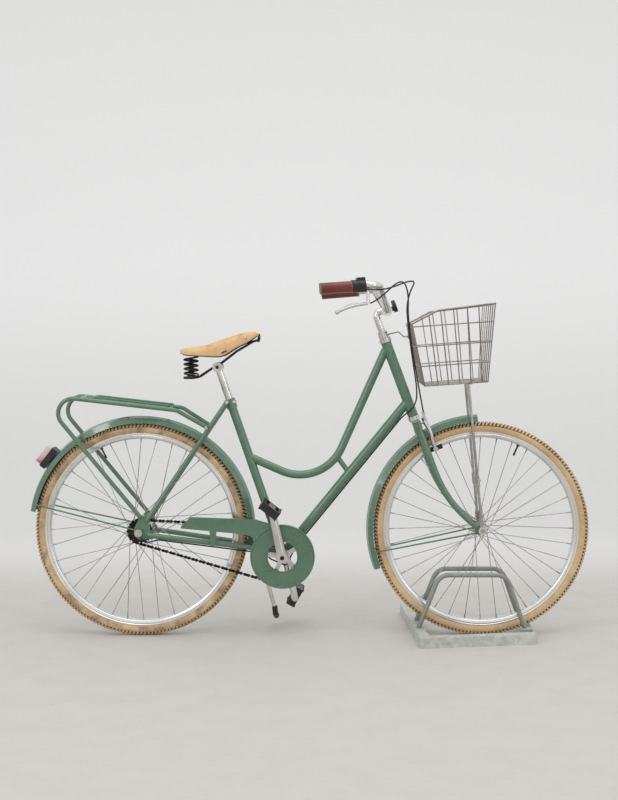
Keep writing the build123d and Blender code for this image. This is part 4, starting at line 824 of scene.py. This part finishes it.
# %% Chain links
CHAIN_Y = -49.0
ROLLER_R = 3.0
ROLLER_HALF = 2.4
CLEAR_OF_ARC = 4 * CHAIN_PITCH
LINK_KINDS = (
    {"inner": 2.6, "outer": 3.6, "end_r": 3.2, "waist": 3.4},
    {"inner": 3.7, "outer": 4.8, "end_r": 4.5, "waist": 6.4},
)
inner_links = bmesh.new()
outer_links = bmesh.new()
for number in range(LINKS):
    distance = LOOP * number / LINKS
    start = pin_place(distance)
    stop = pin_place(LOOP * (number + 1) / LINKS)
    kind = LINK_KINDS[number % 2]
    links = (inner_links, outer_links)[number % 2]
    on_run = distance if distance < RUN else distance - RUN - RING_ARC
    if CLEAR_OF_ARC < on_run < RUN - CLEAR_OF_ARC:
        roller = [at(start.x, CHAIN_Y + side * ROLLER_HALF, start.y) for side in (-1, 1)]
        bar(inner_links, *roller, ROLLER_R, 10)
    middle = (start + stop) / 2
    slope = math.atan2(stop.y - start.y, stop.x - start.x)
    for side in (-1, 1):
        near, far = (CHAIN_Y + side * kind[face] for face in ("inner", "outer"))
        for end in (start, stop):
            bar(links, at(end.x, near, end.y), at(end.x, far, end.y), kind["end_r"], 10)
        place = Matrix.Translation(at(middle.x, (near + far) / 2, middle.y))
        place = place @ Matrix.Rotation(-slope, 4, "Y")
        block(links, (CHAIN_PITCH, abs(far - near), kind["waist"]), place)
solid("chain_outer_links", outer_links, "frame", dark_steel, ("chain",))
solid("chain_inner_links", inner_links, "frame", worn_steel)

# %% [markdown]
# ## Guard and crank bolts
# The sheet-metal guard has a rolled lip round its disc and round the hole in it: a small circle spun like
# the rims. Each crank is held by a bolt on a washer, two short bars on the crank's axis.

# %% Guard lips and crank bolts
GUARD_FACE_Y = -64.5
LIP_RADII = (102.6, 50.4)
LIP_R = 2.4
LIP_SIDES = 10
LIP_STEPS = 96
CRANK_FACE_Y = 86.0
WASHER_Y = 88.6
WASHER_R = 11.5
BOLT_Y = 92.0
BOLT_R = 7.4
CRANK_SIDES = {"right": -1, "left": 1}


def across_crank(shape, start, stop, radius, sides):
    bar(shape, at(CRANK_X, start, CRANK_Z), at(CRANK_X, stop, CRANK_Z), radius, sides)


lips = bmesh.new()
for radius in LIP_RADII:
    turns = [math.tau * step / LIP_SIDES for step in range(LIP_SIDES)]
    ring = [(radius + LIP_R * math.cos(turn), GUARD_FACE_Y + LIP_R * math.sin(turn)) for turn in turns]
    lathe(lips, ring, at(CRANK_X, 0, CRANK_Z), LIP_STEPS)
solid("guard_lips", lips, "frame", paint, crease=80)
for name, side in CRANK_SIDES.items():
    washer = bmesh.new()
    across_crank(washer, side * CRANK_FACE_Y, side * WASHER_Y, WASHER_R, 28)
    solid("crank_washer_" + name, washer, "crankset", chrome)
    bolt = bmesh.new()
    across_crank(bolt, side * WASHER_Y, side * BOLT_Y, BOLT_R, 6)
    solid("crank_bolt_" + name, bolt, "crankset", dark_steel)

# %% [markdown]
# ## Crank ribs
# A forged crank is not a flat bar: its outer face is rounded. A tapered round bar sunk into each arm
# leaves only that rounded back showing, and a flat boss surrounds the bolt.

# %% Crank ribs
CRANK_L = 170.0
CRANK_TURN = {"right": 101.8, "left": 281.8}
RIB_Y = 78.0
RIB_FROM = 14.0
RIB_SHORT = 16.0
RIB_R = 11.4
RIB_TIP_R = 10.2
BOSS_IN, BOSS_OUT = 85.0, 88.0
BOSS_R = 17.0
for name, side in CRANK_SIDES.items():
    turn = math.radians(CRANK_TURN[name])
    foot = round_gear(CRANK_X, CRANK_Z, RIB_FROM, turn)
    tip = round_gear(CRANK_X, CRANK_Z, CRANK_L - RIB_SHORT, turn)
    rib = bmesh.new()
    bar(rib, at(foot.x, side * RIB_Y, foot.y), at(tip.x, side * RIB_Y, tip.y), RIB_R, 28, RIB_TIP_R)
    across_crank(rib, side * BOSS_IN, side * BOSS_OUT, BOSS_R, 36)
    solid("crank_rib_" + name, rib, "crankset", chrome)

# %% [markdown]
# ## Pedal teeth
# A row of teeth along each of a pedal's four edges holds the shoe, and a cap closes the end of its axle.
# The teeth are short four-sided cones, set from the pedal's tilt so that they lean a little outwards.

# %% Pedal teeth
PEDAL_TILT = {"right": -38.0, "left": 60.0}
PEDAL_IN = 90.0
PEDAL_L = 92.0
PEDAL_OUT = PEDAL_IN + PEDAL_L
TOOTH_ROW = (30.0, 12.0)
TEETH = 9
TOOTH_H = 4.0
TOOTH_LEAN = 1.5
TOOTH_R = 4.2
TOOTH_TIP_R = 1.4
CAP_R = 7.5
CAP_LONG = 5.5
for name, side in CRANK_SIDES.items():
    axle = round_gear(CRANK_X, CRANK_Z, CRANK_L, math.radians(CRANK_TURN[name]))
    flat = round_gear(0, 0, 1, math.radians(PEDAL_TILT[name]))
    upright = Vector((-flat.y, flat.x))
    teeth = bmesh.new()
    for edge_side, face in ((-1, -1), (-1, 1), (1, -1), (1, 1)):
        foot = axle + flat * edge_side * TOOTH_ROW[0] + upright * face * TOOTH_ROW[1]
        tip = foot + upright * face * TOOTH_H + flat * edge_side * TOOTH_LEAN
        for number in range(TEETH):
            y = side * (PEDAL_IN + PEDAL_L * (number + 0.5) / TEETH)
            bar(teeth, at(foot.x, y, foot.y), at(tip.x, y, tip.y), TOOTH_R, 4, TOOTH_TIP_R)
    cap_y = side * (PEDAL_OUT + CAP_LONG)
    bar(teeth, at(axle.x, side * PEDAL_OUT, axle.y), at(axle.x, cap_y, axle.y), CAP_R, 20)
    solid("pedal_teeth_" + name, teeth, "pedal_" + name, black_plastic)

# %% [markdown]
# ## Bolts
# Bolts with domed heads hold the seat stays, the rack and the basket legs. They come in pairs, left
# and right, so a row gives the body, the place on the left and the radius. A short tapered bar is a head.

# %% Bolt heads
BOLTS = [
    ("frame", (286, 34, 771), 8.0), ("frame", (308, 17.8, 771), 6.5), ("frame", (222.8, 80, 691), 6.0),
    ("front_end", (1100.3, 72, 517.6), 6.0),
]
HEAD_IN, HEAD_OUT = 3.0, 2.5
HEAD_TAPER = 0.7
for body in ("frame", "front_end"):
    heads = bmesh.new()
    for owner, (x, y, z), radius in BOLTS:
        for side in (-1, 1) if owner == body else ():
            start = at(x, side * (y - HEAD_IN), z)
            bar(heads, start, at(x, side * (y + HEAD_OUT), z), radius, 24, radius * HEAD_TAPER)
    solid("bolt_heads_" + body, heads, body, chrome)

# %% [markdown]
# A six-sided nut on a round washer holds each end of both axles. How far out they sit is read off the
# axle nodes, so the nuts stay at the ends if an axle gets longer.

# %% Axle nuts
NUT_R = 9.5
NUT_IN, NUT_END = 9.0, 1.5
NUT_WASHER_R = 12.5
NUT_WASHER_IN = 11.0
for node, body, x in (("front_axle", "front_end", WHEELBASE), ("rear_axle", "frame", 0.0)):
    low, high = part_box(node)
    nuts = bmesh.new()
    for y, side in ((low.y / MM, -1), (high.y / MM, 1)):
        inner = at(x, y - side * NUT_IN, AXLE_Z)
        bar(nuts, inner, at(x, y - side * NUT_END, AXLE_Z), NUT_R, 6)
        bar(nuts, at(x, y - side * NUT_WASHER_IN, AXLE_Z), inner, NUT_WASHER_R, 28)
    solid("axle_nuts_" + body, nuts, body, chrome)

# %% [markdown]
# ## Side stand
# A rubber sleeve is pushed over the side stand's leg at its knee, where the leg bends outwards. It is one
# bar along the leg.

# %% Side-stand sleeve
SLEEVE = [(435.4, 55.8, 52), (432.6, 55, 82)]
SLEEVE_R = 9.2
sleeve = bmesh.new()
bar(sleeve, at(*SLEEVE[0]), at(*SLEEVE[1]), SLEEVE_R, 24)
solid("kickstand_sleeve", sleeve, "kickstand", black_rubber)

# %% [markdown]
# ## Front brake
# The brake cable ends in a threaded barrel, a bar stepped three times along the cable's last direction.
# Two arms curve from there round the mudguard and down to the rim, where a round nut holds each block.
# The arms are bent wires, because their section stays round.

# %% Front brake
CABLE_FOOT = Vector((927.9, -37.0, 713.1))
CABLE_WAY = Vector((-25.9, -15.0, 131.9)).normalized()
BARREL_STEPS = ((-3, 5, 7.5), (5, 20, 4.6), (20, 24, 6.4))
ARM_ROUTE = [(926, 30, 716), (930, 41, 702), (948, 47, 672), (952, 45, 640), (963.2, 39, 616.8)]
ARM_R = 6.2
PAD_POST = (963.2, 616.8)
PAD_NUT_STEPS = ((38, 47, 8.0, 24), (47, 51, 4.6, 6))
barrel = bmesh.new()
for start, stop, radius in BARREL_STEPS:
    bar(barrel, at(*(CABLE_FOOT + CABLE_WAY * start)), at(*(CABLE_FOOT + CABLE_WAY * stop)), radius, 16)
solid("caliper_barrel", barrel, "front_end", chrome)
arms = [[at(x, side * y, z) for x, y, z in ARM_ROUTE] for side in (-1, 1)]
wires("caliper_arms", arms, ARM_R, "front_end", alloy, slot="alloy", kind="NURBS", ring=4)
pad_nuts = bmesh.new()
for side in (-1, 1):
    for inner, outer, radius, sides in PAD_NUT_STEPS:
        start = at(PAD_POST[0], side * inner, PAD_POST[1])
        bar(pad_nuts, start, at(PAD_POST[0], side * outer, PAD_POST[1]), radius, sides)
solid("pad_nuts", pad_nuts, "front_end", chrome)

# %% [markdown]
# ## Grips and brake lever
# A paler ring closes each end of a grip. The handlebar's last stretch is straight, so a ring is placed by
# its distance from the bar's end.

# %% Grip rings
BAR_END = Vector((600.0, 291.0, 1128.0))
BAR_BACK = Vector((773.0, 260.0, 1140.0))
GRIP_LONG = {-1: 92.0, 1: 124.0}
INNER_RING = (-3.0, -0.5, 17.7)
OUTER_RING = (-5.6, -3.4, 17.5)


def on_grip(side, distance):
    place = BAR_END + (BAR_BACK - BAR_END).normalized() * distance
    return at(place.x, side * place.y, place.z)


grip_rings = bmesh.new()
for side, long in GRIP_LONG.items():
    for base, (start, stop, radius) in ((long, INNER_RING), (0, OUTER_RING)):
        bar(grip_rings, on_grip(side, base + start), on_grip(side, base + stop), radius, 36)
solid("grip_rings", grip_rings, "front_end", stitching)

# %% [markdown]
# The brake lever is a slim blade that bends down towards its tip, where a ball keeps the fingers from
# slipping off. Three points of a smooth curve give the bend.

# %% Brake lever
LEVER_ROUTE = [(740, -266, 1083), (682, -276, 1077), (646, -284, 1056)]
LEVER_R = 4.8
LEVER_BALL_R = 6.6
blade = [at(*point) for point in LEVER_ROUTE]
wires("lever_blade", [blade], LEVER_R, "front_end", alloy, slot="alloy", kind="NURBS", ring=4)
tip_ball = bmesh.new()
ball(tip_ball, blade[-1], LEVER_BALL_R, 20, 12)
solid("lever_ball", tip_ball, "front_end", alloy)

# %% [markdown]
# ## Control cables
# A brake cable and a gear cable leave the right-hand controls, rise in a bow in front of the bar and drop
# past the basket. A cable is springy, so its route is a few points drawn through by a smooth spline,
# never a chain of straight runs. The same points shaped the solid model's cables.

# %% Cables
CABLE_R = 2.4
BRAKE_LONG = 0.651
GEAR_LONG = 0.571
BRAKE_ROUTE = [
    (746.4, -264.9, 1083.7), (769, -263, 1091), (848, -155, 1166), (873, -108, 1122), (871, -72, 1040),
    (902, -52, 845), (927.9, -37, 713.1),
]
GEAR_ROUTE = [
    (723.7, -290.4, 1129.6), (772, -280, 1114), (899, -147, 1167), (872, -94, 1114), (867, -60, 1040),
    (898, -42, 845),
]
GEAR_CROSSING = [(898, -42, 845), (906, -39, 790), (891, -31, 748), (866, -12, 728), (853.3, 0, 714.6)]


def cable(name, route, stands_for=()):
    points = [at(*point) for point in route]
    look = {"slot": "black_rubber", "kind": "NURBS", "ring": 3}
    return wires(name, [points], CABLE_R, "front_end", black_rubber, stands_for, **look)


brake_line = cable("brake_line", BRAKE_ROUTE, ("brake_cable",))
gear_line = cable("gear_line", GEAR_ROUTE, ("gear_cable_upper",))
for line, route, length in ((brake_line, BRAKE_ROUTE, BRAKE_LONG), (gear_line, GEAR_ROUTE, GEAR_LONG)):
    at(*route[0])

# %% [markdown]
# The gear cable goes on from the handlebar's side to the frame's. When the bars turn, that short stretch has
# to bend; here it is made into a plain mesh with no parent of its own.

# %% The stretch across the steering
crossing_line = cable("crossing_line", GEAR_CROSSING)
bpy.context.view_layer.update()
shown = crossing_line.evaluated_get(bpy.context.evaluated_depsgraph_get())
crossing_mesh = bpy.data.meshes.new_from_object(shown)
bpy.data.objects.remove(crossing_line)
crossing = bpy.data.objects.new("gear_crossing", crossing_mesh)
bpy.context.scene.collection.objects.link(crossing)
at(*GEAR_CROSSING[0])
at(*GEAR_CROSSING[-1])
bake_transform(crossing)
print("gear_crossing", len(crossing_mesh.polygons), "faces")

# %% [markdown]
# ## Stage
# The bicycle stands on a sheet of pale paper that runs along the floor and curves up into a backdrop, so
# no edge shows behind it. A profile of points, with a quarter circle in the middle, is drawn out sideways.
# The paper's colour is painted darker near the bicycle as painted shade, and paler further back and up the
# backdrop as painted light.

# %% Floor and backdrop
FLOOR_HALF = 9.0
COVE_Y = 2.2
COVE_R = 3.6
COVE_STEPS = 32
WALL_HIGH = 9.0


def painted_light_falloff(place, color, gloss, height):
    # Painted light and shade: darker paper near the bicycle, paler further back and paler again up the
    # backdrop.
    back = place.part("Y").step(0.5, 1.7)
    up = place.part("Z").step(0.0, 1.6)
    color = back.mix(color, srgb(217, 216, 214))
    return up.mix(color, srgb(238, 237, 236)), gloss, height


sheet = bmesh.new()
profile = [(-FLOOR_HALF, 0.0)]
for step in range(COVE_STEPS + 1):
    turn = math.pi / 2 * step / COVE_STEPS
    profile.append((COVE_Y + COVE_R * math.sin(turn), COVE_R * (1 - math.cos(turn))))
profile.append((COVE_Y + COVE_R, WALL_HIGH))
corners = [sheet.verts.new((-FLOOR_HALF, y, z)) for y, z in profile]
runs = [sheet.edges.new(pair) for pair in zip(corners, corners[1:])]
drawn = bmesh.ops.extrude_edge_only(sheet, edges=runs)["geom"]
far_corners = [item for item in drawn if isinstance(item, bmesh.types.BMVert)]
bmesh.ops.translate(sheet, vec=(2 * FLOOR_HALF, 0, 0), verts=far_corners)
for face in sheet.faces:
    face.smooth = True
backdrop_mesh = bpy.data.meshes.new("backdrop")
sheet.to_mesh(backdrop_mesh)
sheet.free()
backdrop = bpy.data.objects.new("backdrop", backdrop_mesh)
bpy.context.scene.collection.objects.link(backdrop)
paper = finish("studio_paper", (195, 191, 186), (191, 187, 181), (0.60, 0.74), bump=0.0001, pattern=painted_light_falloff)
backdrop_mesh.materials.append(paper)
print("backdrop", len(backdrop_mesh.polygons), "faces")

# %% [markdown]
# ## Light
# One broad soft light overhead gives gentle shading, and a pale sky fills the rest. Two tall narrow lights
# at the front, left and right, add the bright lines that run along polished tubes.

# %% Light
LIGHTS = (
    {"name": "overhead", "place": (0.2, -0.8, 3.6), "target": (0, 0, 0.4), "size": (3.4, 2.4), "power": 40},
    {"name": "left_front", "place": (-2.8, -3.4, 2.4), "target": (0, 0, 0.5), "size": (0.5, 2.2), "power": 26},
    {"name": "right_front", "place": (3.4, -3.0, 1.9), "target": (0, 0, 0.5), "size": (0.4, 2.2), "power": 12},
)
scene = bpy.context.scene
world = bpy.data.worlds.new("studio")
scene.world = world
world.use_nodes = True
sky = world.node_tree.nodes["Background"]
sky.inputs["Strength"].default_value = 1.0
sky.inputs["Color"].default_value = (0.90, 0.91, 0.92, 1.0)


def soft_light(name, place, target, size, power):
    lamp = bpy.data.lights.new(name, "AREA")
    lamp.shape = "RECTANGLE"
    lamp.size, lamp.size_y = size
    lamp.energy = power
    thing = bpy.data.objects.new(name, lamp)
    thing.location = place
    thing.rotation_euler = (Vector(target) - Vector(place)).to_track_quat("-Z", "Y").to_euler()
    scene.collection.objects.link(thing)


for row in LIGHTS:
    soft_light(**row)
print("lights", len(LIGHTS))

# %% [markdown]
# ## Camera
# The camera stands about four metres away at chest height, with a slightly long lens, turned and tipped a
# little. Its three axes are built from those small angles and put into one matrix.

# %% Camera
CAMERA_AT = (0.0971, -4.0, 1.0003)
YAW = -0.0229
PITCH = -0.0562
ROLL = -0.0060
LENS = 55.136
lens = bpy.data.cameras.new("camera")
lens.sensor_fit = "AUTO"
lens.sensor_width = 36.0
lens.lens = LENS
lens.dof.use_dof = False
camera = bpy.data.objects.new("camera", lens)
scene.collection.objects.link(camera)
ahead = Vector((math.sin(YAW) * math.cos(PITCH), math.cos(YAW) * math.cos(PITCH), math.sin(PITCH)))
right = ahead.cross(Vector((0, 0, 1))).normalized()
up = right.cross(ahead)
rolled_right = right * math.cos(ROLL) + up * math.sin(ROLL)
rolled_up = rolled_right.cross(ahead)
turn = Matrix((rolled_right, rolled_up, -ahead)).transposed().to_4x4()
camera.matrix_world = Matrix.Translation(CAMERA_AT) @ turn
scene.camera = camera
scene.view_settings.view_transform = "Standard"
print("camera at", CAMERA_AT)
